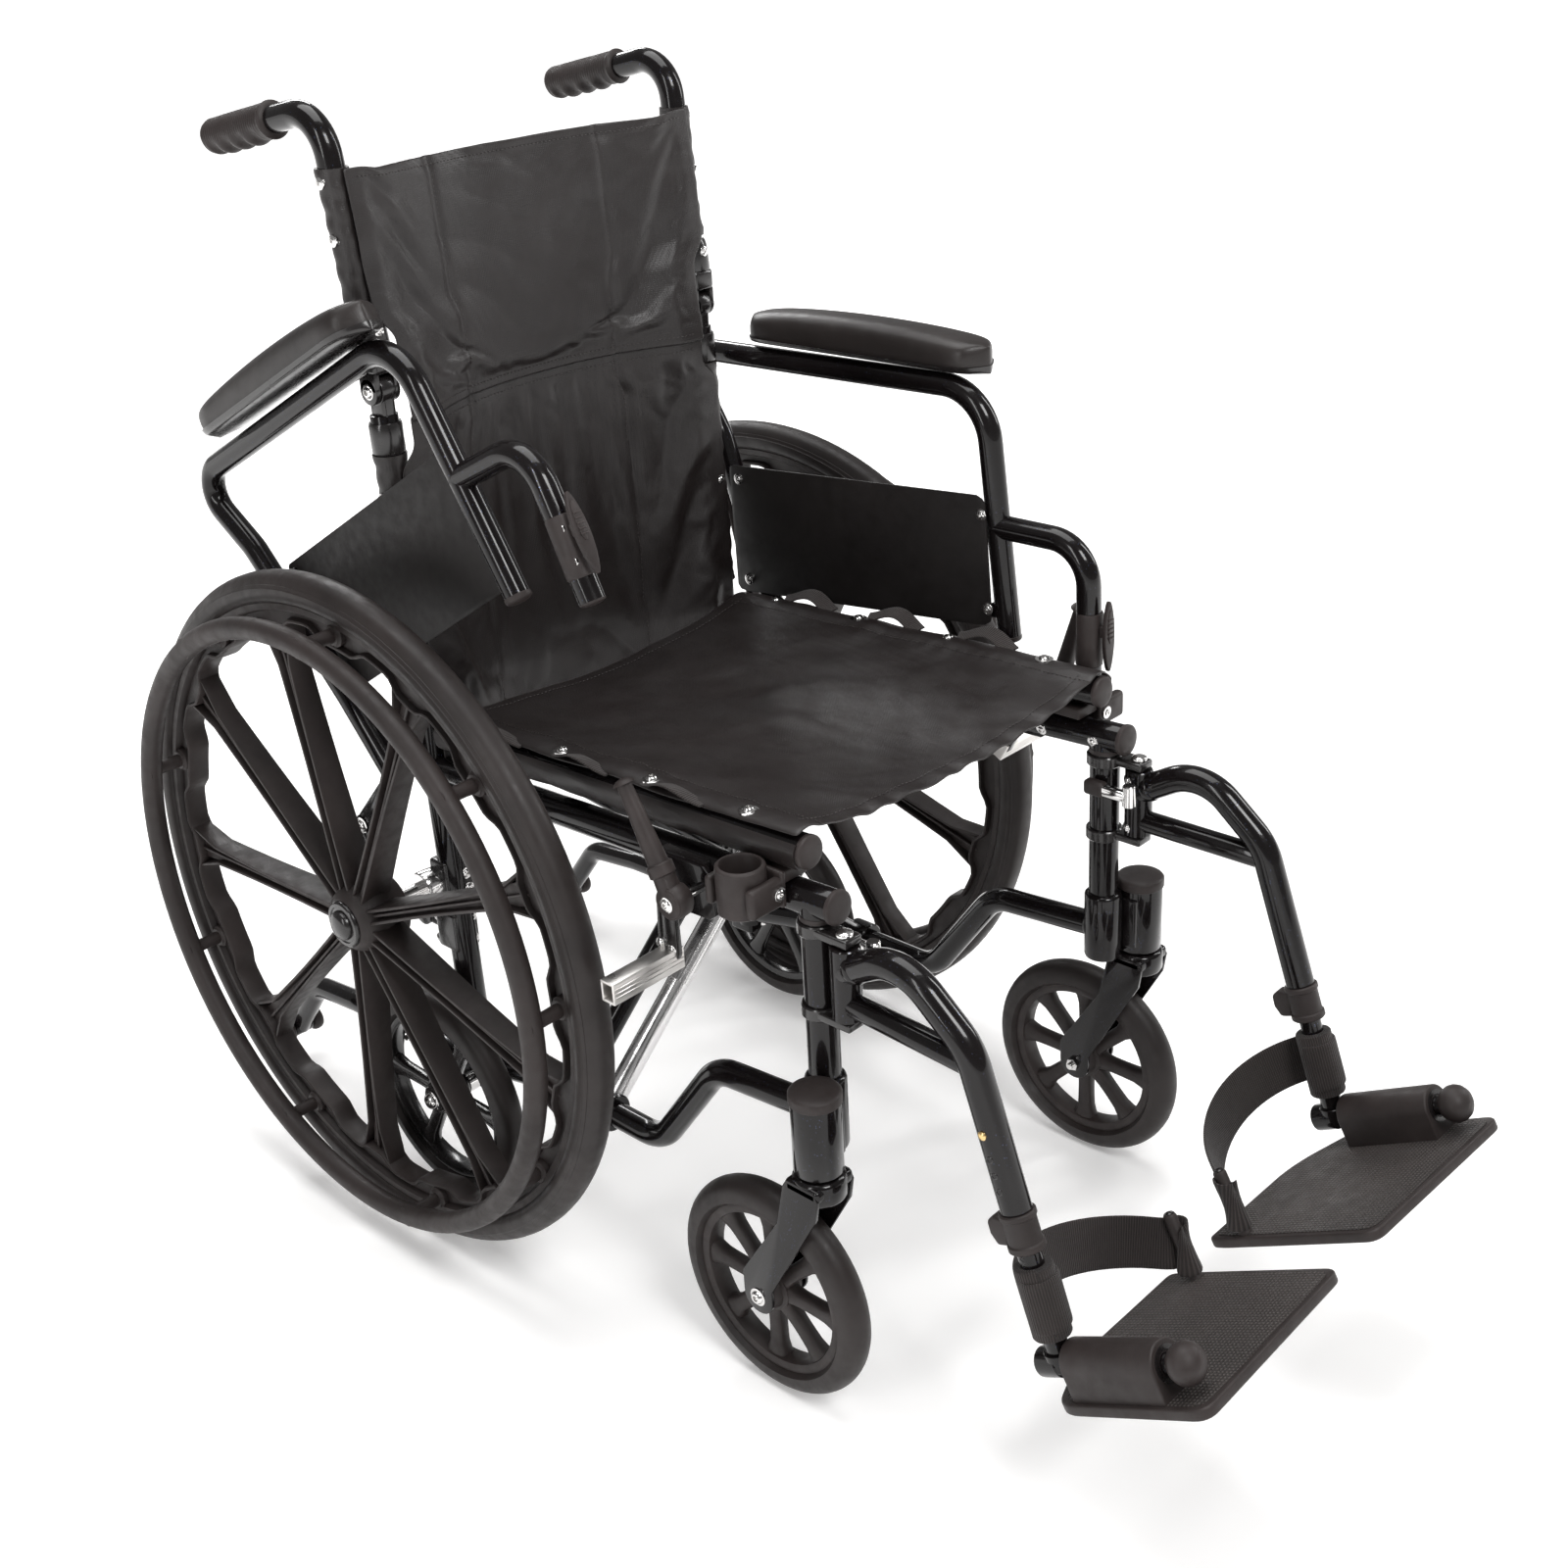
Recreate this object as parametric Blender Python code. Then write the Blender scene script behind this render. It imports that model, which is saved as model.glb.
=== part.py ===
"""Folding manual wheelchair with push-rim rear wheels and four small transport wheels.

Sizes below are in millimetres and are turned into metres when a mesh is made.
+Z is up, the chair faces -Y, and the occupant's right side is at -X.  Sizes are laid out
from a datum on the floor under the push wheels' axle; placing a piece moves the origin to
the floor under the middle of the chair's outline.
"""
import math

import bmesh
import bpy
from mathutils import Matrix, Vector

MM = 0.001
GAP = 0.3
DATUM_SHIFT_Y = 247.37
SIDES = ((-1, "right"), (1, "left"))

# Wheels
PUSH_WHEEL_RADIUS = 305.0
PUSH_WHEEL_X = 264.0
TYRE_WIDTH = 34.0
HANDRIM_X = 305.0
HANDRIM_RADIUS = 268.0
HANDRIM_TUBE = 9.5
SPOKES = 9
RIM_FACETS = 36
SPOKE_START_DEG = 23.0
AXLE_RADIUS = 6.0
SMALL_WHEEL_RADIUS = 101.6
SMALL_WHEEL_WIDTH = 26.0
SMALL_WHEEL_POS = (219.0, -16.0, 107.0)
CASTER_RADIUS = 93.0
CASTER_WIDTH = 28.0
CASTER_X = 207.0
CASTER_Y = -465.0
CASTER_TRAIL = 53.0
CASTER_SPOKES = 8
STEM_RADIUS = 8.6
ANTITIP_X = 185.0
ANTITIP_R = 10.5

# Side frames
FRAME_X = 177.0
TUBE_R = 12.5
RAIL_SLOPE = 0.041
SIDE_TUBE_FRONT = (-468.0, 432.5)
SEAT_RAIL_FRONT = (-443.0, 469.0)
SEAT_RAIL_REAR_Y = -30.0
FRONT_POST_Y = -448.0
REAR_POST_TOP = (-8.0, 414.0)
BACK_HINGE = (0.0, 742.0)
LOWER_RAIL_R = 11.0
LOWER_RAIL_Z = 142.0

# Folding brace
BRACE_Y = -169.0
BRACE_PITCH = 21.0
BRACE_R = 10.0

# Armrests; the right one is built flipped back by this angle about its pivot
ARM_X = 211.0
ARM_R = 10.5
ARM_PIVOT = (38.0, 257.0)
ARM_FLIP_DEG = {-1: -26.0, 1: 0.0}
TAB_PLACES = ((-16, 575), (-308, 590), (-319, 505))

# Leg rests
HANGER_PIVOT = (182.0, -478.0)
LEG_X = 187.0
LEG_TOP = (-592.0, 371.0)
LEG_DIR = (-0.32, -0.947)
LEG_INNER_R = 8.6
STUB_START = (-661.0, 145.0)
STUB_TILT_DEG = 29.0
PLATE_INNER_X = 24.0

# Back and wheel locks
CANE_X = 183.0
CANE_R = 11.0
LOCK_X = 231.0
LOCK_HANDLE_PIVOT = (-358.0, 424.0)
LOCK_SHOE_PIVOT = (-336.0, 412.0)
LOCK_SET_DEG = {-1: (0.0, 0.0), 1: (45.0, 29.0)}


def rail_drop(y, start_y):
    """Height lost along a rail that slopes down to the rear."""
    return RAIL_SLOPE * (y - start_y)


def side_tube_z(y):
    return SIDE_TUBE_FRONT[1] - rail_drop(y, SIDE_TUBE_FRONT[0])


def seat_rail_z(y):
    return SEAT_RAIL_FRONT[1] - rail_drop(y, SEAT_RAIL_FRONT[0])


def leg_point(distance):
    """Point in the side plane at a distance down the leg tube from its top bend."""
    return LEG_TOP[0] + LEG_DIR[0] * distance, LEG_TOP[1] + LEG_DIR[1] * distance


def stub_point(along, above=0.0):
    """Point in the side plane along the footplate's tilted hinge axis, and above it."""
    tilt = math.radians(STUB_TILT_DEG)
    y = STUB_START[0] - along * math.cos(tilt) + above * math.sin(tilt)
    z = STUB_START[1] + along * math.sin(tilt) + above * math.cos(tilt)
    return y, z


# ---------------------------------------------------------------- mesh building

def finish_mesh(bm, turn_out=True):
    bmesh.ops.remove_doubles(bm, verts=bm.verts, dist=1e-6)
    if turn_out:
        bmesh.ops.recalc_face_normals(bm, faces=bm.faces)
    mesh = bpy.data.meshes.new("solid")
    bm.to_mesh(mesh)
    bm.free()
    return mesh


def skin(rings, closed=False):
    """Closed solid from equal rings of points, capped at both ends unless it closes."""
    bm = bmesh.new()
    loops = [[bm.verts.new(Vector(p) * MM) for p in ring] for ring in rings]
    count = len(loops[0])
    pairs = list(zip(loops, loops[1:]))
    if closed:
        pairs.append((loops[-1], loops[0]))
    for low, high in pairs:
        for i in range(count):
            j = (i + 1) % count
            bm.faces.new((low[i], low[j], high[j], high[i]))
    if not closed:
        bm.faces.new(loops[0][::-1])
        bm.faces.new(loops[-1])
    return finish_mesh(bm)


def rounded_path(path, bend, steps=2):
    """Polyline with each inner corner replaced by an arc of the bend radius."""
    points = [Vector(p) for p in path]
    out = [points[0]]
    for before, corner, after in zip(points, points[1:], points[2:]):
        back = (before - corner).normalized()
        ahead = (after - corner).normalized()
        half = back.angle(ahead) / 2
        reach = min(bend / math.tan(half), 0.48 * (before - corner).length, 0.48 * (after - corner).length)
        radius = reach * math.tan(half)
        centre = corner + (back + ahead).normalized() * (radius / math.sin(half))
        start = corner + back * reach - centre
        end = corner + ahead * reach - centre
        sweep = start.angle(end)
        for k in range(steps + 1):
            t = k / steps
            blend = start * math.sin((1 - t) * sweep) + end * math.sin(t * sweep)
            out.append(centre + blend / math.sin(sweep))
    out.append(points[-1])
    return out


def tube(path, radius, bend=40.0, sides=8, end_radius=None):
    """Round bar swept along a path with rounded corners."""
    points = rounded_path(path, bend)
    rings = []
    direction = (points[1] - points[0]).normalized()
    normal = direction.orthogonal().normalized()
    for i, point in enumerate(points):
        before = points[max(i - 1, 0)]
        after = points[min(i + 1, len(points) - 1)]
        new_direction = (after - before).normalized()
        normal = direction.rotation_difference(new_direction) @ normal
        direction = new_direction
        side = direction.cross(normal)
        size = radius
        if end_radius is not None:
            size = radius + (end_radius - radius) * i / (len(points) - 1)
        ring = []
        for k in range(sides):
            angle = math.tau * (k + 0.5) / sides
            ring.append(point + (normal * math.cos(angle) + side * math.sin(angle)) * size)
        rings.append(ring)
    return skin(rings)


def rod(start, end, radius, sides=10, end_radius=None):
    return tube((start, end), radius, sides=sides, end_radius=end_radius)


def bore(start, end, pin_radius, sides=10, gap=GAP):
    """Cutter for a hole whose flats clear a pin of the given radius."""
    return rod(start, end, (pin_radius + gap) / math.cos(math.pi / sides), sides)


def spindle(start, end, stations, sides=12):
    """Turned bar: stations are (fraction along, radius)."""
    a, b = Vector(start), Vector(end)
    normal = (b - a).orthogonal().normalized()
    side = (b - a).normalized().cross(normal)
    rings = []
    for t, radius in stations:
        centre = a.lerp(b, t)
        angles = [math.tau * k / sides for k in range(sides)]
        rings.append([centre + (normal * math.cos(v) + side * math.sin(v)) * radius for v in angles])
    return skin(rings)


def block(low, high):
    x0, y0, z0 = (min(a, b) for a, b in zip(low, high))
    x1, y1, z1 = (max(a, b) for a, b in zip(low, high))
    return skin([[(x, y0, z0), (x, y1, z0), (x, y1, z1), (x, y0, z1)] for x in (x0, x1)])


def plate(outline, x0, x1):
    """Flat plate from a (y, z) outline, between two x planes."""
    return skin([[(x, y, z) for y, z in outline] for x in (x0, x1)])


def strap(start, end, width, x0, x1):
    """Flat bar between two (y, z) points."""
    a, b = Vector(start), Vector(end)
    across = (b - a).normalized().orthogonal() * width / 2
    along = (b - a).normalized() * width / 2
    outline = [a - along - across, b + along - across, b + along + across, a - along + across]
    return plate([tuple(p) for p in outline], x0, x1)


def lathe(profile, centre, segments, axis=(1, 0, 0)):
    """Turn a closed (along, radius) profile about an axis through a centre."""
    spin_axis = Vector(axis).normalized()
    turn = Vector((1, 0, 0)).rotation_difference(spin_axis)
    rings = []
    for k in range(segments):
        angle = math.tau * k / segments
        ring = [Vector((a, r * math.cos(angle), r * math.sin(angle))) for a, r in profile]
        rings.append([turn @ p + Vector(centre) for p in ring])
    return skin(rings, closed=True)


def combine(target, operand, operation):
    """Boolean of two meshes with the exact solver."""
    first = bpy.data.objects.new("first", target)
    second = bpy.data.objects.new("second", operand)
    for item in (first, second):
        bpy.context.scene.collection.objects.link(item)
    modifier = first.modifiers.new("boolean", "BOOLEAN")
    modifier.solver = "EXACT"
    modifier.operation = operation
    modifier.object = second
    bpy.context.view_layer.update()
    depsgraph = bpy.context.evaluated_depsgraph_get()
    result = bpy.data.meshes.new_from_object(first.evaluated_get(depsgraph))
    for item in (first, second):
        bpy.data.objects.remove(item)
    return result


def fuse(*meshes):
    result = meshes[0]
    for mesh in meshes[1:]:
        result = combine(result, mesh, "UNION")
    return result


def cut(mesh, *cutters):
    for cutter in cutters:
        mesh = combine(mesh, cutter, "DIFFERENCE")
    return mesh


def turned(mesh, degrees, pivot):
    """Mesh turned about an X axis through a (y, z) pivot."""
    centre = Vector((0, pivot[0], pivot[1])) * MM
    mesh.transform(Matrix.Translation(centre) @ Matrix.Rotation(math.radians(degrees), 4, "X")
                   @ Matrix.Translation(-centre))
    return mesh


MATERIALS = {
    "frame_paint": ((0.012, 0.011, 0.013), 0.18, 0.3),
    "moulded_black": ((0.030, 0.026, 0.025), 0.5, 0.0),
    "rubber": ((0.026, 0.023, 0.022), 0.7, 0.0),
    "pad_vinyl": ((0.024, 0.021, 0.020), 0.38, 0.0),
    "nylon": ((0.022, 0.018, 0.018), 0.55, 0.0),
    "webbing": ((0.030, 0.026, 0.025), 0.8, 0.0),
    "chrome": ((0.72, 0.72, 0.72), 0.15, 1.0),
    "aluminium": ((0.60, 0.59, 0.57), 0.35, 1.0),
}


def material_for(name, slot):
    colour, roughness, metallic = MATERIALS[slot]
    material = bpy.data.materials.new(name)
    material.use_nodes = True
    shader = material.node_tree.nodes["Principled BSDF"]
    shader.inputs["Base Color"].default_value = (*colour, 1)
    shader.inputs["Roughness"].default_value = roughness
    shader.inputs["Metallic"].default_value = metallic
    return material


def add(name, mesh, slot, origin=(0, 0, 0)):
    """Place a mesh as a named piece, with its origin on its joint."""
    offset = Vector(origin) * MM
    mesh.transform(Matrix.Translation(-offset))
    mesh.name = name
    piece = bpy.data.objects.new(name, mesh)
    piece.location = offset + Vector((0, DATUM_SHIFT_Y * MM, 0))
    bpy.context.scene.collection.objects.link(piece)
    mesh.materials.clear()
    mesh.materials.append(material_for(name, slot))
    mesh.shade_smooth()
    mesh.set_sharp_from_angle(angle=math.radians(35))
    return piece


# ---------------------------------------------------------------- side frames

def side_frame(s, side):
    x = s * FRAME_X
    lean = (SMALL_WHEEL_POS[1], SMALL_WHEEL_POS[2])
    rail = [(x, FRONT_POST_Y, 252), (x, -332, 242), (x, -258, LOWER_RAIL_Z),
            (x, -120, LOWER_RAIL_Z), (x, lean[0], 120)]
    side_tube = rod((x, SIDE_TUBE_FRONT[0], SIDE_TUBE_FRONT[1]), (x, -8, side_tube_z(-8)), TUBE_R)
    front_post = rod((x, FRONT_POST_Y, 430), (x, FRONT_POST_Y, 232), TUBE_R)
    post_sleeve = rod((x, FRONT_POST_Y, 286), (x, FRONT_POST_Y, 226), 16)
    housing = rod((s * CASTER_X, CASTER_Y, 289), (s * CASTER_X, CASTER_Y, 226), 19, sides=16)
    gusset = block((s * 180, -474, 232), (s * 200, -442, 280))
    rear_post = rod((x, *REAR_POST_TOP), (x, *lean), TUBE_R)
    receiver = rod((s * 160, 0, PUSH_WHEEL_RADIUS), (s * 206, 0, PUSH_WHEEL_RADIUS), 14)
    receiver_web = block((s * 168, -14, 290), (s * 186, 2, 320))
    small_axle = rod((s * 168, *lean), (s * 237, *lean), AXLE_RADIUS)
    small_axle_head = rod((s * 236.5, *lean), (s * 242, *lean), 10)
    small_axle_shoulder = rod((s * 168, *lean), (s * 201.5, *lean), 11)
    antitip_socket = rod((s * ANTITIP_X, -16, 120), (s * ANTITIP_X, 62, 118), 14.5)
    cane = rod((x, -8, 410), (x, 0, 720), 11.5)
    tongue = block((s * 171, -9, 714), (s * 183, 9, BACK_HINGE[1]))
    knuckle = rod((s * 171, *BACK_HINGE), (s * 183, *BACK_HINGE), 11.5)
    hinge_pin = rod((s * 164, *BACK_HINGE), (s * 190, *BACK_HINGE), 4, sides=10)
    arm_bracket = block((s * 170, -12, 246), (s * 181, 48, 268))
    arm_pin = rod((s * 176, *ARM_PIVOT), (s * 211.5, *ARM_PIVOT), 5)
    arm_pin_head = rod((s * 210.9, *ARM_PIVOT), (s * 214, *ARM_PIVOT), 9)
    lock_pad = block((s * 186, -352, 424), (s * 199.5, -306, 438))
    lugs = []
    for z in (348, 416):
        lugs.append(block((s * 172, -486, z - 7), (s * 188, -444, z)))
    pin_x, pin_y = s * HANGER_PIVOT[0], HANGER_PIVOT[1]
    swing_pin = rod((pin_x, pin_y, 344), (pin_x, pin_y, 412), 4)
    frame = fuse(side_tube, front_post, post_sleeve, housing, gusset, tube(rail, LOWER_RAIL_R),
                 rear_post, receiver, receiver_web, small_axle, small_axle_head, small_axle_shoulder,
                 antitip_socket, cane, tongue, knuckle, hinge_pin, arm_bracket, arm_pin,
                 arm_pin_head, lock_pad, *lugs, swing_pin)
    frame = cut(frame,
                bore((s * CASTER_X, CASTER_Y, 278), (s * CASTER_X, CASTER_Y, 200), STEM_RADIUS),
                bore((s * 140, 0, PUSH_WHEEL_RADIUS), (s * 220, 0, PUSH_WHEEL_RADIUS), AXLE_RADIUS),
                bore((s * ANTITIP_X, 6, 119.4), (s * ANTITIP_X, 80, 117.6), ANTITIP_R))
    add(f"side_frame_{side}", frame, "frame_paint")


def arm_socket(s, side):
    """Moulded block that takes the armrest's front post and cradles the seat rail."""
    top = side_tube_z(-408) + TUBE_R
    body = block((s * 190.6, -434, 424), (s * 230, -384, 462))
    saddle = block((s * 165, -430, top + 1.2), (s * 192, -388, seat_rail_z(-388) - TUBE_R - 0.6))
    mesh = fuse(body, saddle)
    mesh = cut(mesh, rod((s * ARM_X, -408, 470), (s * ARM_X, -408, 440), 14.5, sides=16))
    add(f"arm_socket_{side}", mesh, "moulded_black")


def brace():
    """Crossed pair of arms; each carries the far seat rail and wraps the near lower rail."""
    top_z = seat_rail_z(BRACE_Y)
    for s, name, lanes in ((-1, "brace_outer", (-1, 1)), (1, "brace_inner", (0,))):
        foot = s * FRAME_X
        head = -s * (FRAME_X + 0.5)
        parts = [rod((head, SEAT_RAIL_FRONT[0], seat_rail_z(SEAT_RAIL_FRONT[0])),
                     (head, SEAT_RAIL_REAR_Y, seat_rail_z(SEAT_RAIL_REAR_Y)), TUBE_R)]
        collar_half = BRACE_PITCH * max(abs(lane) for lane in lanes) + BRACE_R + 1
        for lane in lanes:
            y = BRACE_Y + lane * BRACE_PITCH
            parts.append(rod((foot, y, LOWER_RAIL_Z), (head, y, top_z), BRACE_R))
        parts.append(rod((foot, BRACE_Y - collar_half, LOWER_RAIL_Z),
                         (foot, BRACE_Y + collar_half, LOWER_RAIL_Z), 16.5))
        sleeve_hole = bore((foot, BRACE_Y - 60, LOWER_RAIL_Z), (foot, BRACE_Y + 60, LOWER_RAIL_Z),
                           LOWER_RAIL_R, gap=1.0)
        mesh = cut(fuse(*parts), sleeve_hole)
        centre_z = (LOWER_RAIL_Z + top_z) / 2
        bolt_hole = rod((-s * 0.25, BRACE_Y - 60, centre_z), (-s * 0.25, BRACE_Y + 60, centre_z), 4.6)
        add(name, cut(mesh, bolt_hole), "frame_paint", (foot, BRACE_Y, LOWER_RAIL_Z))
    z = (LOWER_RAIL_Z + top_z) / 2
    reach = BRACE_PITCH + BRACE_R + 0.5
    bolt = fuse(rod((0, BRACE_Y - reach - 1, z), (0, BRACE_Y + reach + 1, z), 4),
                rod((0, BRACE_Y - reach - 6, z), (0, BRACE_Y - reach, z), 8),
                rod((0, BRACE_Y + reach, z), (0, BRACE_Y + reach + 6, z), 8))
    add("brace_bolt", bolt, "chrome", (0, BRACE_Y, z))


# ---------------------------------------------------------------- wheels

def small_wheel(name, centre, radius, width, hole, spokes, hub_half):
    """One-piece small wheel: solid tyre, spoked web and bored hub."""
    half = width / 2
    rim = lathe([(-half * 0.8, radius - 26), (half * 0.8, radius - 26), (half, radius - 9),
                 (half * 0.5, radius), (-half * 0.5, radius), (-half, radius - 9)], centre, 24)
    hub = lathe([(-hub_half, hole), (hub_half, hole), (hub_half, 19), (-hub_half, 19)], centre, 10)
    parts = [rim, hub]
    for k in range(spokes):
        angle = math.tau * k / spokes
        c, sn = math.cos(angle), math.sin(angle)
        inner, outer = 17, radius - 25
        outline = []
        for r, w in ((inner, 5), (outer, 8), (outer, -8), (inner, -5)):
            outline.append((centre[1] + c * r - sn * w, centre[2] + sn * r + c * w))
        parts.append(plate(outline, centre[0] - half * 0.45, centre[0] + half * 0.45))
    return add(name, fuse(*parts), "moulded_black", centre)


def casters(s, side):
    x = s * CASTER_X
    axle_y = CASTER_Y + CASTER_TRAIL
    crown = rod((x, CASTER_Y, 206), (x, CASTER_Y, 225.5), 21, sides=14)
    stem = rod((x, CASTER_Y, 220), (x, CASTER_Y, 275), STEM_RADIUS)
    parts = [crown, stem]
    for inner, outer in ((-17.5, -21), (17.5, 21)):
        outline = [(CASTER_Y - 16, 222), (CASTER_Y + 16, 222), (axle_y + 15, 96),
                   (axle_y + 8, 78), (axle_y - 8, 78), (axle_y - 15, 96)]
        parts.append(plate(outline, x + inner, x + outer))
    parts.append(rod((x - 24, axle_y, CASTER_RADIUS), (x + 24, axle_y, CASTER_RADIUS), 5))
    add(f"caster_fork_{side}", fuse(*parts), "frame_paint", (x, CASTER_Y, 225))
    small_wheel(f"caster_wheel_{side}", (x, axle_y, CASTER_RADIUS), CASTER_RADIUS, CASTER_WIDTH,
                5.4 + GAP, CASTER_SPOKES, 16.5)


def push_wheel(s, side):
    x = s * PUSH_WHEEL_X
    centre = (x, 0, PUSH_WHEEL_RADIUS)
    radius = PUSH_WHEEL_RADIUS
    half = TYRE_WIDTH / 2
    tyre = lathe([(-half * 0.7, radius - 24), (half * 0.7, radius - 24), (half, radius - 14),
                  (half * 0.55, radius), (-half * 0.55, radius), (-half, radius - 14)], centre, RIM_FACETS)
    add(f"wheel_tyre_{side}", tyre, "rubber", centre)

    rim = lathe([(-11, radius - 43), (11, radius - 43), (11.5, radius - 24.3), (-11.5, radius - 24.3)],
                centre, RIM_FACETS)
    hole = AXLE_RADIUS + 2 * GAP
    hub = lathe([(-s * 26, hole), (s * 22, hole), (s * 22, 22), (-s * 26, 30)], centre, 12)
    parts = [rim, hub]
    for k in range(SPOKES):
        angle = math.radians(SPOKE_START_DEG + 360 * k / SPOKES)
        c, sn = -math.cos(angle), math.sin(angle)
        sections = []
        for r, w, dx in ((19, 7, 15), (radius - 41, 11, 8)):
            ring = []
            for across, along in ((-w, -dx), (w, -dx), (w, dx), (-w, dx)):
                ring.append((x + along, c * r - sn * across, radius + sn * r + c * across))
            sections.append(ring)
        parts.append(skin(sections))
    add(f"wheel_rim_{side}", fuse(*parts), "moulded_black", centre)

    ring = []
    for k in range(6):
        angle = math.tau * k / 6
        ring.append((s * (HANDRIM_X - PUSH_WHEEL_X) + HANDRIM_TUBE * math.cos(angle),
                     HANDRIM_RADIUS + HANDRIM_TUBE * math.sin(angle)))
    parts = [lathe(ring, centre, RIM_FACETS)]
    for k in range(SPOKES):
        angle = math.radians(SPOKE_START_DEG + 360 * (k + 0.5) / SPOKES)
        y, z = -math.cos(angle) * HANDRIM_RADIUS, radius + math.sin(angle) * HANDRIM_RADIUS
        parts.append(rod((s * (PUSH_WHEEL_X + 11.8), y, z), (s * HANDRIM_X, y, z), 6, sides=8))
    add(f"handrim_{side}", fuse(*parts), "moulded_black", centre)

    axle = fuse(rod((s * 157, 0, radius), (s * 289, 0, radius), AXLE_RADIUS),
                rod((s * 286.5, 0, radius), (s * 291, 0, radius), 19, sides=20),
                rod((s * 290.5, 0, radius), (s * 295, 0, radius), 11, sides=16))
    add(f"wheel_axle_{side}", axle, "chrome", (s * 286, 0, radius))


def transport_wheel(s, side):
    centre = (s * SMALL_WHEEL_POS[0], SMALL_WHEEL_POS[1], SMALL_WHEEL_POS[2])
    small_wheel(f"transport_wheel_{side}", centre, SMALL_WHEEL_RADIUS, SMALL_WHEEL_WIDTH,
                AXLE_RADIUS + 2 * GAP, 6, 16.5)


def antitipper(s, side):
    x = s * ANTITIP_X
    axle = (285, 43)
    tail = tube([(x, 12, 119.2), (x, 165, 115.6), (x, 234, 108), (x, *axle)], ANTITIP_R, bend=34)
    boss = rod((x - 10.5, *axle), (x + 10.5, *axle), 9)
    pin = rod((x - 24, *axle), (x + 24, *axle), 3.5)
    add(f"antitip_tube_{side}", fuse(tail, boss, pin), "frame_paint", (x, 62, 118))
    profile = [(-5.5, 4.1), (5.5, 4.1), (5.5, 10), (3, 12.5), (-3, 12.5), (-5.5, 10)]
    for label, shift in (("inner", -s * 16.5), ("outer", s * 16.5)):
        wheel = lathe(profile, (x + shift, *axle), 14)
        add(f"antitip_wheel_{side}_{label}", wheel, "moulded_black", (x + shift, *axle))


# ---------------------------------------------------------------- armrests

def armrest(s, side):
    x = s * ARM_X
    flip = ARM_FLIP_DEG[s]

    def place(name, mesh, slot, origin=ARM_PIVOT):
        mesh = turned(mesh, flip, ARM_PIVOT)
        add(name, mesh, slot, (x, *origin))

    link_low, link_high = s * 205, s * 210.4
    main = tube([(x, -59, 387), (x, -38, 462), (x, 14, 612), (x, 62, 690), (x, -302, 694), (x, -325, 480)],
                ARM_R, bend=48)
    branch = tube([(x, -312, 578), (x, -406, 578), (x, -408, 454.5)], ARM_R, bend=36)
    link = fuse(strap((-56, 384), (28, 352), 18, link_low, link_high),
                strap((28, 352), ARM_PIVOT, 20, link_low, link_high))
    screw_tabs = [block((s * 200.6, y - 8, z - 7), (x, y + 8, z + 7)) for y, z in TAB_PLACES]
    frame = fuse(main, branch, link, *screw_tabs)
    frame = cut(frame, bore((s * 190, *ARM_PIVOT), (s * 220, *ARM_PIVOT), 5))
    place(f"arm_tube_{side}", frame, "frame_paint")

    sections = []
    centre_x = s * 223.5
    for y, half, low, high in ((-296, 14, 708, 722), (-290, 21, 706, 730), (-272, 24, 705, 735),
                               (-50, 24, 705, 735), (-34, 21, 706, 730), (-28, 15, 708, 722)):
        sections.append([(centre_x - half, y, low + 4), (centre_x - half * 0.7, y, low),
                         (centre_x + half * 0.7, y, low), (centre_x + half, y, low + 4),
                         (centre_x + half, y, high - 9), (centre_x + half * 0.62, y, high),
                         (centre_x - half * 0.62, y, high), (centre_x - half, y, high - 9)])
    place(f"arm_pad_{side}", skin(sections), "pad_vinyl")

    panel = plate([(-6, 587), (-296, 606), (-311, 600), (-318, 497), (-300, 488), (-14, 462), (-7, 468)],
                  s * 197.9, s * 200.2)
    place(f"arm_panel_{side}", panel, "moulded_black")

    latch = fuse(strap((-425, 531), (-425, 478), 7, x - 7, x + 7), block((x - 5, -424, 500), (x + 5, -419.4, 514)))
    place(f"arm_latch_{side}", latch, "moulded_black")


# ---------------------------------------------------------------- leg rests

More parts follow.
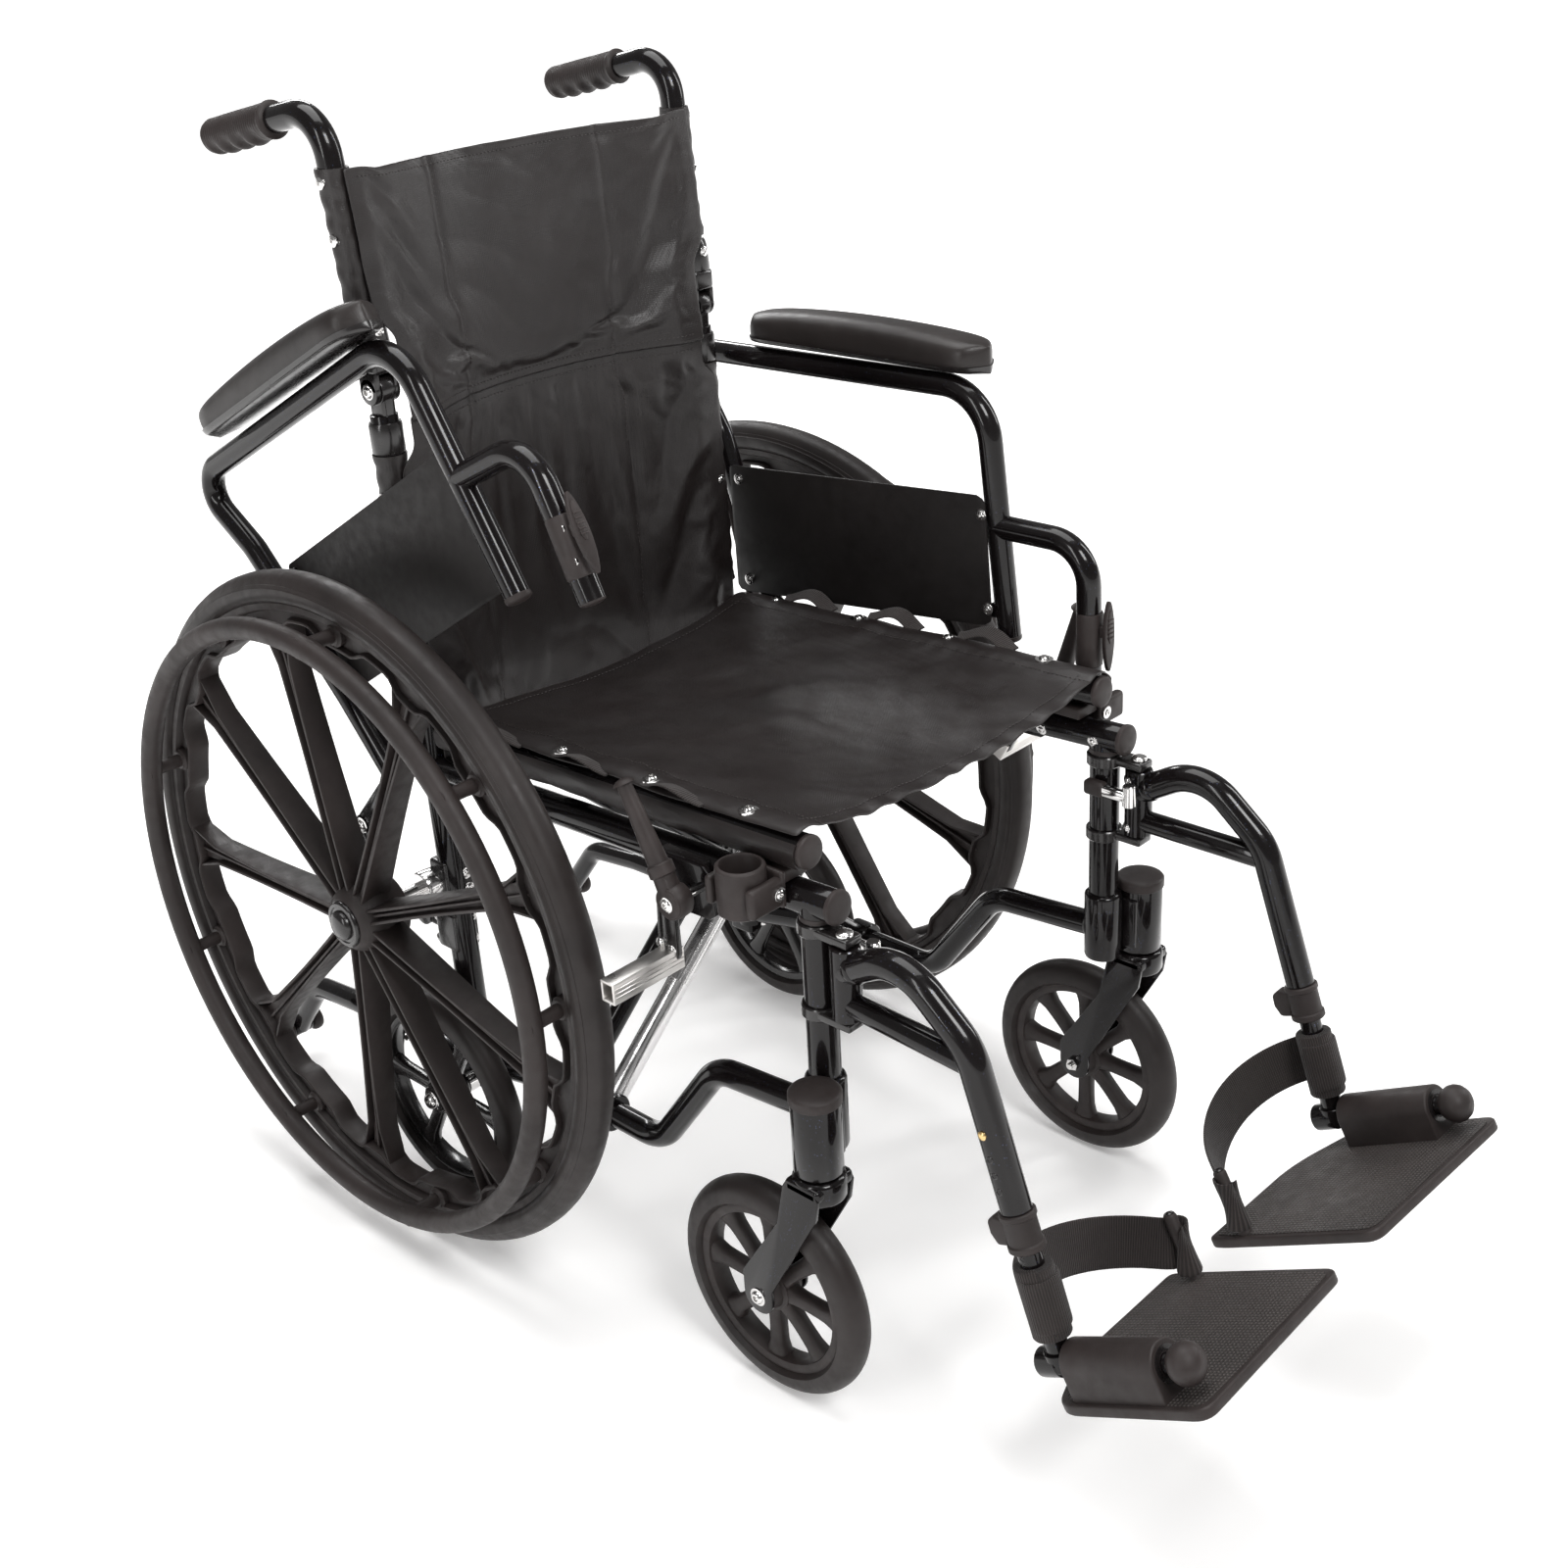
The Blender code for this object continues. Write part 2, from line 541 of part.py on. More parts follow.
def leg_rest(s, side):
    x = s * LEG_X
    pivot_x, pivot_y = s * HANGER_PIVOT[0], HANGER_PIVOT[1]
    lower = leg_point(118)
    main = tube([(pivot_x, pivot_y, 388), (x, -534, 420), (x, *LEG_TOP), (x, *lower)], 11.5, bend=52)
    strut = rod((pivot_x, pivot_y, 362), (x, *leg_point(12)), 9.5, sides=12)
    pivot_tube = rod((pivot_x, pivot_y, 348.5), (pivot_x, pivot_y, 408.5), 11.5)
    hanger = cut(fuse(pivot_tube, main, strut),
                 bore((pivot_x, pivot_y, 340), (pivot_x, pivot_y, 412), 4),
                 bore((x, *leg_point(32)), (x, *leg_point(140)), LEG_INNER_R))
    add(f"hanger_{side}", hanger, "frame_paint", (pivot_x, pivot_y, 380))

    latch_x = s * 159
    latch = fuse(rod((latch_x, -484, 384), (latch_x, -484, 402), 5.5),
                 block((s * 153, -484, 388), (s * 161, -446, 398)))
    add(f"hanger_latch_{side}", latch, "chrome", (latch_x, -484, 390))

    tilt_end = stub_point(116)
    shaft = rod((x, *leg_point(36)), (x, *leg_point(238)), LEG_INNER_R)
    collar = rod((x, *leg_point(119)), (x, *leg_point(148)), 13.5)
    grip_y, grip_z = leg_point(134)
    thumb = block((x - 6, grip_y + 8, grip_z - 16), (x + 6, grip_y + 27, grip_z + 5))
    stub = rod((x, *STUB_START), (x, *tilt_end), 7.6)
    elbow = rod((x, *stub_point(-9)), (x, *stub_point(10)), 11)
    knob = spindle((x, *stub_point(108)), (x, *stub_point(132)),
                   ((0, 9), (0.3, 13.5), (0.55, 14.5), (0.8, 12), (1, 6)))
    extension = fuse(shaft, collar, thumb, stub, elbow, knob)
    add(f"leg_extension_{side}", extension, "frame_paint", (x, *STUB_START))

    corners = [(s * PLATE_INNER_X, -12), (s * PLATE_INNER_X, 128), (s * 34, 142), (s * 196, 142),
               (s * 208, 130), (s * 208, 16), (s * 196, 4), (s * 150, -22), (s * 32, -24)]
    rings = [[(px, *stub_point(a, above)) for px, a in corners] for above in (-30, -21)]
    tread = skin(rings)
    barrel = rod((x, *stub_point(20)), (x, *stub_point(104)), 17, sides=12)
    web_rings = [[(px, *stub_point(a, above)) for px, a in
                  ((x - 16, 21), (x - 16, 103), (x + 16, 103), (x + 16, 21))] for above in (-25, -3)]
    strap_post = rod((s * 34, *stub_point(8, -24)), (s * 34, *stub_point(8, 30)), 5.5, sides=10)
    footplate = cut(fuse(tread, skin(web_rings), barrel, strap_post),
                    bore((x, *stub_point(0)), (x, *stub_point(112)), 7.6))
    add(f"footplate_{side}", footplate, "moulded_black", (x, *stub_point(60)))

    sleeve_top, sleeve_low = leg_point(160), leg_point(214)
    sleeve = cut(rod((x, *sleeve_top), (x, *sleeve_low), 14.5),
                 bore((x, *leg_point(150)), (x, *leg_point(224)), LEG_INNER_R))
    anchor = stub_point(8, 4)
    band = []
    steps = 8
    for k in range(steps + 1):
        t = k / steps
        bow = math.sin(math.pi * t)
        px = s * (175.5 + (41.5 - 175.5) * t)
        y = sleeve_top[0] + (anchor[0] + 3 - sleeve_top[0]) * t + 42 * bow
        z = sleeve_top[1] - 42 + (anchor[1] + 4 - sleeve_top[1] + 42) * t
        band.append([(px, y, z), (px, y + 2.4, z), (px, y + 2.4 + 6, z + 40), (px, y + 6, z + 40)])
    loop = fuse(sleeve, skin(band))
    add(f"heel_loop_{side}", loop, "webbing", (x, *sleeve_low))


# ---------------------------------------------------------------- wheel locks

def wheel_lock(s, side):
    """Push-to-lock brake: a toggle handle and the shoe that it swings on to the tyre."""
    handle_turn, shoe_turn = LOCK_SET_DEG[s]
    body = fuse(block((s * 200, -370, 400), (s * 205, -304, 440)),
                rod((s * 201, *LOCK_HANDLE_PIVOT), (s * 240, *LOCK_HANDLE_PIVOT), 4),
                rod((s * 201, *LOCK_SHOE_PIVOT), (s * 222, *LOCK_SHOE_PIVOT), 4))
    add(f"lock_body_{side}", body, "frame_paint", (s * 202, *LOCK_HANDLE_PIVOT))

    x = s * LOCK_X
    hub = rod((x - 7, *LOCK_HANDLE_PIVOT), (x + 7, *LOCK_HANDLE_PIVOT), 12)
    grip = tube([(x, *LOCK_HANDLE_PIVOT), (x, -350, 440), (x, -314, 506)], 6.5, bend=10, end_radius=8)
    handle = cut(fuse(hub, grip), bore((s * 200, *LOCK_HANDLE_PIVOT), (s * 260, *LOCK_HANDLE_PIVOT), 4))
    handle = turned(handle, handle_turn, LOCK_HANDLE_PIVOT)
    add(f"lock_handle_{side}", handle, "moulded_black", (x, *LOCK_HANDLE_PIVOT))

    y, z = -335, 363
    shoe = fuse(rod((s * 213, *LOCK_SHOE_PIVOT), (s * 220, *LOCK_SHOE_PIVOT), 9),
                strap(LOCK_SHOE_PIVOT, (y, z + 5), 11, s * 213.5, s * 219.5),
                block((s * 211, y - 7, z - 9), (s * 283, y + 7, z + 9)))
    shoe = cut(shoe, bore((s * 200, *LOCK_SHOE_PIVOT), (s * 230, *LOCK_SHOE_PIVOT), 4),
               block((s * 228, y - 5, z - 7), (s * 290, y + 5, z + 7)))
    shoe = turned(shoe, shoe_turn, LOCK_SHOE_PIVOT)
    add(f"lock_shoe_{side}", shoe, "aluminium", (s * 216, *LOCK_SHOE_PIVOT))


# ---------------------------------------------------------------- back and fabric

def back_cane(s, side):
    hinge_y, hinge_z = BACK_HINGE
    x = s * CANE_X
    crook, grip_end = Vector((22, 958)), Vector((168, 931))
    grip_start = crook.lerp(grip_end, 0.42)
    cane = tube([(s * 178, 1, 762), (s * 181, 14, 880), (x, *crook), (x, *grip_end)], CANE_R, bend=44)
    yoke = block((s * 165, -13, hinge_z + 13), (s * 189, 13, hinge_z + 32))
    parts = [cane, yoke]
    for x0, x1 in ((165, 170.4), (183.6, 189)):
        parts.append(block((s * x0, -11, hinge_z), (s * x1, 11, hinge_z + 14)))
        parts.append(rod((s * x0, hinge_y, hinge_z), (s * x1, hinge_y, hinge_z), 11))
    mesh = cut(fuse(*parts), bore((s * 150, *BACK_HINGE), (s * 200, *BACK_HINGE), 4))
    add(f"back_cane_{side}", mesh, "frame_paint", (s * 177, *BACK_HINGE))

    direction = Vector((0, *(grip_end - grip_start)))
    length = direction.length + 8
    inside = CANE_R + 2 * GAP
    profile = [(0, inside), (0, 13), (6, 14), (length - 8, 14), (length, 10), (length, 0.8),
               (length - 6, 0.8), (length - 6, inside)]
    grip = lathe(profile, (x, *grip_start), 16, axis=direction)
    add(f"push_grip_{side}", grip, "moulded_black", (x, *grip_start))

    lever = fuse(block((s * 172, 13.4, hinge_z + 14), (s * 182, 19, hinge_z + 30)),
                 block((s * 172, 16, hinge_z + 13), (s * 182, 24, hinge_z + 20)))
    add(f"back_latch_{side}", lever, "chrome", (s * 177, 16, hinge_z + 28))


def fabric_sheet(name, rows, thickness, across):
    """Sheet sagging between the tubes: rows are (half width, y, z, sag y, sag z)."""
    sections = []
    profile = ((-1, 0), (-0.86, 0), (-0.45, 0.75), (0, 1), (0.45, 0.75), (0.86, 0), (1, 0))
    for half, y, z, sag_y, sag_z in rows:
        front, back = [], []
        for t, dip in profile:
            point = Vector((half * t, y + sag_y * dip, z + sag_z * dip))
            front.append(point)
            back.append(point + Vector(across) * thickness)
        sections.append(front + back[::-1])
    add(name, skin(sections), "nylon", (0, rows[0][1], rows[0][2]))


def upholstery():
    lift = TUBE_R + 1.0
    seat = [(188, y, seat_rail_z(y) + lift, 0, -14) for y in (-441, -300, -160, -28)]
    fabric_sheet("seat_upholstery", seat, 4, (0, 0, 1))
    lower = [(156, 2, 478, 26, 0), (158, 4, 610, 26, 0), (158, 5, 738, 24, 0)]
    fabric_sheet("back_upholstery_lower", lower, 4, (0, 1, 0))
    upper = [(158, 5, 746, 24, 0), (160, 10, 830, 22, 0), (162, 17, 912, 18, 0)]
    fabric_sheet("back_upholstery_upper", upper, 4, (0, 1, 0))


def build():
    for item in list(bpy.data.objects):
        bpy.data.objects.remove(item)
    brace()
    upholstery()
    for s, side in SIDES:
        side_frame(s, side)
        arm_socket(s, side)
        casters(s, side)
        push_wheel(s, side)
        transport_wheel(s, side)
        antitipper(s, side)
        armrest(s, side)
        leg_rest(s, side)
        wheel_lock(s, side)
        back_cane(s, side)


build()
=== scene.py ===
import math
import random

import bmesh
import bpy
from mathutils import Matrix, Vector, noise


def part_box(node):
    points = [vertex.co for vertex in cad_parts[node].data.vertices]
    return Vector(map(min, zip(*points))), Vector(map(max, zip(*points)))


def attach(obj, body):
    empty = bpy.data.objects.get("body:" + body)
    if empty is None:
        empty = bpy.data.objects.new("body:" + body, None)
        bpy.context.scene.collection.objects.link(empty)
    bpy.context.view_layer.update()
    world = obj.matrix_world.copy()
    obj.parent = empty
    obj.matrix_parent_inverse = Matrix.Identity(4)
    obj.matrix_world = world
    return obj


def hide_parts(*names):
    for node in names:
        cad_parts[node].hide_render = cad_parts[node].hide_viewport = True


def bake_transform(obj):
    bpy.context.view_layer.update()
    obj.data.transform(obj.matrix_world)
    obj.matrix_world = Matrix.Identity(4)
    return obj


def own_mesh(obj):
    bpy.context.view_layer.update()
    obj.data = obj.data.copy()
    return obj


# Folding manual wheelchair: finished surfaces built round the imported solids.
# Sizes are in millimetres, laid out from a datum on the floor under the push wheels' axle.
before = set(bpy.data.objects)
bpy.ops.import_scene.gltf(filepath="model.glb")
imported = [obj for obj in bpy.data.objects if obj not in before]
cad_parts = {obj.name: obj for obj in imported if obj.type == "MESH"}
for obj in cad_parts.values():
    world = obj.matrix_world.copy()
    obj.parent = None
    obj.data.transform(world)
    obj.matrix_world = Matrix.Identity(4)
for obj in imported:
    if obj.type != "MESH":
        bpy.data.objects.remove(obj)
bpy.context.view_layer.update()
MM = 0.001
tyre_low, tyre_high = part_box("wheel_tyre_right")
DATUM = Vector((0, (tyre_low.y + tyre_high.y) / 2, 0))
SIDES = ((-1, "right"), (1, "left"))
RND = random.Random(7)

# Main sizes, the same as the solids
WHEEL_R, WHEEL_X, TYRE_W = 305.0, 264.0, 34.0
HANDRIM_X, HANDRIM_R, HANDRIM_TUBE = 305.0, 268.0, 9.5
SPOKES, SPOKE_START = 9, 23.0
SMALL_X, SMALL_Y, SMALL_Z, SMALL_R = 219.0, -16.0, 107.0, 101.6
CASTER_X, CASTER_Y, CASTER_AXLE_Y, CASTER_R = 207.0, -465.0, -412.0, 93.0
FRAME_X, TUBE_R, BRACE_Y, RAIL_Z = 177.0, 12.5, -169.0, 142.0
ARM_X, ARM_R = 211.0, 10.5
ARM_PIVOT = (38.0, 257.0)
ARM_FLIP = {-1: -26.0, 1: 0.0}
LOCK_TURN = {-1: (0.0, 0.0), 1: (45.0, 29.0)}
LOCK_PIVOT, SHOE_PIVOT = (-358.0, 424.0), (-336.0, 412.0)
LEG_X, HANGER_X, HANGER_Y = 187.0, 182.0, -478.0
HINGE_Z = 742.0
GLOSS, MATT, RUBBER, VINYL, NYLON, WEB = "gloss", "matt", "rubber", "vinyl", "nylon", "web"
CHROME, ALLOY, BRASS, DARK, SILVER, GREY, TREAD, THREAD, PANEL = (
    "chrome", "alloy", "brass", "dark", "silver", "grey", "tread", "thread", "panel")


def rail_z(y, front=469.0, start=-443.0):
    return front - 0.041 * (y - start)


def tube_z(y):
    return rail_z(y, 432.5, -468.0)


def leg_point(d):
    return -592 - 0.32 * d, 371 - 0.947 * d


def stub_point(along, above=0.0):
    t = math.radians(29)
    return (-661 - along * math.cos(t) + above * math.sin(t),
            145 + along * math.sin(t) + above * math.cos(t))


# ------------------------------------------------------------------ materials

class Nodes:
    """Small helper that builds one node-based material."""

    def __init__(self, name):
        self.material = bpy.data.materials.new(name)
        self.material.use_nodes = True
        self.tree = self.material.node_tree
        self.shader = self.tree.nodes["Principled BSDF"]
        self.coords = self.tree.nodes.new("ShaderNodeTexCoord")

    def node(self, kind, links=None, **values):
        made = self.tree.nodes.new(kind)
        for key, value in values.items():
            if hasattr(made, key):
                setattr(made, key, value)
            else:
                made.inputs[key.replace("_", " ")].default_value = value
        for key, source in (links or {}).items():
            self.tree.links.new(source, made.inputs[key])
        return made

    def set(self, **values):
        for key, value in values.items():
            self.shader.inputs[key.replace("_", " ")].default_value = value

    def link(self, socket, name):
        self.tree.links.new(socket, self.shader.inputs[name])

    def noise(self, scale, detail=4.0, space="Object", rough=0.55):
        made = self.node("ShaderNodeTexNoise", {"Vector": self.coords.outputs[space]},
                         Scale=scale, Detail=detail, Roughness=rough)
        return made.outputs["Fac"]

    def remap(self, source, low, high, out_low, out_high):
        made = self.node("ShaderNodeMapRange", {"Value": source})
        for key, value in (("From Min", low), ("From Max", high),
                           ("To Min", out_low), ("To Max", out_high)):
            made.inputs[key].default_value = value
        return made.outputs["Result"]

    def math(self, operation, a, b):
        made = self.tree.nodes.new("ShaderNodeMath")
        made.operation = operation
        for socket, value in ((made.inputs[0], a), (made.inputs[1], b)):
            if isinstance(value, (int, float)):
                socket.default_value = value
            else:
                self.tree.links.new(value, socket)
        return made.outputs[0]

    def mix(self, factor, a, b):
        made = self.tree.nodes.new("ShaderNodeMix")
        made.data_type = "RGBA"
        slots = [s for s in made.inputs if s.type == "RGBA"]
        self.tree.links.new(factor, made.inputs[0])
        for socket, value in zip(slots, (a, b)):
            if isinstance(value, tuple):
                socket.default_value = (*value, 1)
            else:
                self.tree.links.new(value, socket)
        return [s for s in made.outputs if s.type == "RGBA"][0]

    def bump(self, height, strength, distance=0.0005, under=None):
        links = {"Height": height}
        if under is not None:
            links["Normal"] = under
        made = self.node("ShaderNodeBump", links, Strength=strength, Distance=distance)
        return made.outputs["Normal"]

    def edges(self, low=0.52, high=0.62):
        pointed = self.tree.nodes.new("ShaderNodeNewGeometry").outputs["Pointiness"]
        return self.remap(pointed, low, high, 0.0, 1.0)


def gloss_paint():
    n = Nodes("gloss_black_paint")
    cells = n.node("ShaderNodeTexVoronoi", {"Vector": n.coords.outputs["Object"]}, Scale=900.0)
    chosen = n.math("GREATER_THAN", n.node("ShaderNodeSeparateColor", {
        "Color": cells.outputs["Color"]}).outputs[0], 0.95)
    dot = n.math("LESS_THAN", cells.outputs["Distance"], 0.34)
    fleck = n.math("MULTIPLY", chosen, dot)
    patches = n.remap(n.noise(42.0, 3.0), 0.42, 0.62, 0.0, 1.0)
    fleck = n.math("MULTIPLY", fleck, patches)
    tint = n.mix(n.noise(30.0), (0.04, 0.10, 0.20), (0.12, 0.09, 0.14))
    cloud = n.mix(n.remap(n.noise(9.0, 5.0), 0.3, 0.7, 0.0, 1.0), (0.0030, 0.0023, 0.0024),
                  (0.0065, 0.0050, 0.0052))
    n.link(n.mix(fleck, cloud, tint), "Base Color")
    n.link(n.remap(n.noise(60.0, 6.0), 0.3, 0.75, 0.12, 0.30), "Roughness")
    n.link(n.math("MULTIPLY", fleck, 0.9), "Metallic")
    n.link(n.bump(n.noise(220.0, 3.0), 0.05, 0.0004), "Normal")
    n.set(Coat_Weight=0.42, Coat_Roughness=0.04, Coat_IOR=1.45, IOR=1.4, Specular_IOR_Level=0.22)
    return n.material


def moulded(name, dark, light, rough=(0.42, 0.62), grain=1500.0, grain_bump=0.25, wear=0.35, coat=0.0):
    n = Nodes(name)
    body = n.mix(n.remap(n.noise(14.0, 5.0), 0.32, 0.7, 0.0, 1.0), dark, light)
    worn = n.math("MULTIPLY", n.edges(), n.remap(n.noise(55.0), 0.4, 0.65, 0.0, wear))
    pale = tuple(min(1.0, c * 2.6 + 0.012) for c in light)
    n.link(n.mix(worn, body, pale), "Base Color")
    n.link(n.remap(n.noise(90.0, 6.0), 0.3, 0.7, *rough), "Roughness")
    fine = n.bump(n.noise(grain, 2.0), grain_bump, 0.0003)
    n.link(n.bump(n.noise(35.0, 3.0), 0.06, 0.002, fine), "Normal")
    n.set(Coat_Weight=coat, Coat_Roughness=0.2, Specular_IOR_Level=0.32)
    return n.material


def woven(name, dark, light, pitch, rough=(0.46, 0.62), sheen=0.25, weave_bump=0.35):
    n = Nodes(name)
    across = n.node("ShaderNodeTexWave", {"Vector": n.coords.outputs["Object"]}, bands_direction="X",
                    Scale=0.314 / pitch * 1000 / 2, Distortion=0.6, Detail=1.0)
    down = n.node("ShaderNodeTexWave", {"Vector": n.coords.outputs["Object"]}, bands_direction="Z",
                  Scale=0.314 / pitch * 1000 / 2, Distortion=0.6, Detail=1.0)
    deep = n.node("ShaderNodeTexWave", {"Vector": n.coords.outputs["Object"]}, bands_direction="Y",
                  Scale=0.314 / pitch * 1000 / 2, Distortion=0.6, Detail=1.0)
    threads = n.math("MAXIMUM", n.math("MAXIMUM", across.outputs["Fac"], down.outputs["Fac"]),
                     deep.outputs["Fac"])
    body = n.mix(n.remap(n.noise(11.0, 6.0), 0.3, 0.72, 0.0, 1.0), dark, light)
    raised = n.mix(n.remap(threads, 0.2, 1.0, 0.0, 0.4), body, tuple(c * 1.9 for c in light))
    n.link(raised, "Base Color")
    n.link(n.remap(n.noise(24.0, 5.0), 0.3, 0.7, *rough), "Roughness")
    cloth = n.bump(threads, weave_bump, 0.0003)
    n.link(n.bump(n.noise(46.0, 4.0), 0.22, 0.0025, cloth), "Normal")
    n.set(Sheen_Weight=sheen, Sheen_Roughness=0.4, Specular_IOR_Level=0.5)
    n.shader.inputs["Sheen Tint"].default_value = (0.30, 0.25, 0.24, 1)
    return n.material


def ribbed(name, dark, light, pitch):
    """Webbing: ribs across the strap, with its own length and width kept in the UV map."""
    n = Nodes(name)
    ribs = n.node("ShaderNodeTexWave", {"Vector": n.coords.outputs["UV"]}, bands_direction="X",
                  Scale=0.314 / pitch, Distortion=0.25, Detail=0.0)
    yarn = n.node("ShaderNodeTexWave", {"Vector": n.coords.outputs["UV"]}, bands_direction="Y",
                  Scale=0.314 / (pitch * 0.7), Distortion=0.5)
    body = n.mix(n.remap(n.noise(20.0, 5.0), 0.3, 0.7, 0.0, 1.0), dark, light)
    n.link(n.mix(n.remap(ribs.outputs["Fac"], 0.3, 1.0, 0.0, 0.7), body, tuple(c * 2.0 for c in light)),
           "Base Color")
    fine = n.bump(yarn.outputs["Fac"], 0.15, 0.0003)
    n.link(n.bump(ribs.outputs["Fac"], 0.7, 0.0008, fine), "Normal")
    n.link(n.remap(n.noise(60.0), 0.3, 0.7, 0.72, 0.92), "Roughness")
    n.set(Sheen_Weight=0.1, Specular_IOR_Level=0.2)
    return n.material


def metal(name, colour, rough, brushed=0.0, scale=60.0):
    n = Nodes(name)
    smudge = n.noise(scale, 6.0)
    n.link(n.mix(n.remap(n.noise(25.0), 0.35, 0.7, 0.0, 0.5), colour, tuple(c * 0.72 for c in colour)),
           "Base Color")
    n.link(n.remap(smudge, 0.3, 0.75, rough, rough + 0.16), "Roughness")
    stretch = n.node("ShaderNodeMapping", {"Vector": n.coords.outputs["Object"]})
    stretch.inputs["Scale"].default_value = (1.0, 30.0, 30.0)
    lines = n.node("ShaderNodeTexNoise", {"Vector": stretch.outputs["Vector"]}, Scale=60.0, Detail=3.0)
    n.link(n.bump(lines.outputs["Fac"], 0.03 + brushed, 0.0003), "Normal")
    n.set(Metallic=1.0)
    return n.material


def tread_plastic():
    """Footplate surface: a fine raised lattice, running with the plate."""
    n = Nodes("tread_plastic")
    fields = []
    for direction in ("X", "Y"):
        fields.append(n.node("ShaderNodeTexWave", {"Vector": n.coords.outputs["UV"]}, Detail=0.0,
                             bands_direction=direction, Scale=0.314 / 3.4, Distortion=0.0).outputs["Fac"])
    lattice = n.math("MULTIPLY", *fields)
    body = n.mix(n.remap(n.noise(16.0, 5.0), 0.3, 0.7, 0.0, 1.0), (0.015, 0.012, 0.011), (0.028, 0.022, 0.020))
    n.link(n.mix(n.remap(lattice, 0.2, 0.8, 0.0, 0.8), body, (0.080, 0.066, 0.062)), "Base Color")
    n.link(n.remap(n.noise(70.0, 5.0), 0.3, 0.7, 0.5, 0.72), "Roughness")
    n.link(n.bump(lattice, 0.9, 0.0011), "Normal")
    return n.material


MATERIALS = {
    GLOSS: gloss_paint(),
    MATT: moulded("moulded_black_plastic", (0.0165, 0.0125, 0.0118), (0.027, 0.0205, 0.0195)),
    DARK: moulded("gloss_black_plastic", (0.007, 0.006, 0.006), (0.014, 0.012, 0.012), (0.16, 0.3), 900.0,
                  0.05, 0.2, 0.5),
    RUBBER: moulded("tyre_rubber", (0.013, 0.0098, 0.0093), (0.022, 0.017, 0.016), (0.40, 0.58), 1800.0,
                    0.2, 0.3),
    VINYL: moulded("arm_pad_skin", (0.0135, 0.011, 0.0105), (0.022, 0.018, 0.017), (0.30, 0.44), 1100.0,
                   0.35, 0.25),
    PANEL: moulded("guard_panel_plastic", (0.0060, 0.0046, 0.0044), (0.0095, 0.0074, 0.0071), (0.45, 0.6), 1500.0,
                   0.22, 0.2),
    GREY: moulded("grey_plastic", (0.13, 0.12, 0.115), (0.20, 0.185, 0.18), (0.4, 0.55)),
    NYLON: woven("woven_nylon", (0.0048, 0.0034, 0.0033), (0.0090, 0.0065, 0.0062), 0.9, (0.36, 0.50), 0.05),
    WEB: ribbed("ribbed_webbing", (0.015, 0.0122, 0.0118), (0.026, 0.0215, 0.0205), 1.9),
    THREAD: woven("sewing_thread", (0.016, 0.013, 0.0125), (0.028, 0.024, 0.023), 0.5),
    CHROME: metal("polished_chrome", (0.80, 0.79, 0.78), 0.06),
    ALLOY: metal("brushed_alloy", (0.66, 0.64, 0.62), 0.26, 0.12),
    BRASS: metal("brass", (0.78, 0.56, 0.26), 0.2),
    SILVER: metal("silver_sleeve", (0.86, 0.85, 0.85), 0.16, 0.02),
    TREAD: tread_plastic(),
}
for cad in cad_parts.values():
    cad.data.materials.clear()
    cad.data.materials.append(MATERIALS[GLOSS])


# ------------------------------------------------------------------ shape building
# A shape is (points, faces, uvs); uvs is None or one (u, v) in mm for each point.

def join(*shapes):
    points, faces, uvs = [], [], []
    for shape in shapes:
        base = len(points)
        points += shape[0]
        faces += [tuple(i + base for i in face) for face in shape[1]]
        uvs += shape[2] if len(shape) > 2 and shape[2] else [(0.0, 0.0)] * len(shape[0])
    return points, faces, uvs


def skin(rings, closed=False, caps=True, uvs=None):
    count = len(rings[0])
    points = [Vector(p) for ring in rings for p in ring]
    faces = []
    total = len(rings)
    for k in range(total if closed else total - 1):
        a, b = k * count, ((k + 1) % total) * count
        for i in range(count):
            j = (i + 1) % count
            faces.append((a + i, a + j, b + j, b + i))
    if caps and not closed:
        faces.append(tuple(range(count))[::-1])
        faces.append(tuple(range((total - 1) * count, total * count)))
    return points, faces, uvs


def bevelled(shape, width, segments=3, angle=28):
    bm = bmesh.new()
    made = [bm.verts.new(p) for p in shape[0]]
    for face in shape[1]:
        bm.faces.new([made[i] for i in face])
    bmesh.ops.recalc_face_normals(bm, faces=bm.faces)
    sharp = [e for e in bm.edges if len(e.link_faces) == 2
             and e.calc_face_angle(0) > math.radians(angle)]
    bmesh.ops.bevel(bm, geom=sharp, offset=width, segments=segments, profile=0.5, affect="EDGES",
                    clamp_overlap=True)
    bm.verts.index_update()
    points = [v.co.copy() for v in bm.verts]
    faces = [tuple(v.index for v in f.verts) for f in bm.faces]
    bm.free()
    return points, faces, None


def rounded(path, bend, steps=9):
    points = [Vector(p) for p in path]
    out = [points[0]]
    for before, corner, after in zip(points, points[1:], points[2:]):
        back, ahead = (before - corner).normalized(), (after - corner).normalized()
        half = back.angle(ahead) / 2
        reach = min(bend / math.tan(half), 0.48 * (before - corner).length, 0.48 * (after - corner).length)
        radius = reach * math.tan(half)
        centre = corner + (back + ahead).normalized() * (radius / math.sin(half))
        start, end = corner + back * reach - centre, corner + ahead * reach - centre
        sweep_angle = start.angle(end)
        for k in range(steps + 1):
            t = k / steps
            mix = start * math.sin((1 - t) * sweep_angle) + end * math.sin(t * sweep_angle)
            out.append(centre + mix / math.sin(sweep_angle))
    out.append(points[-1])
    return out


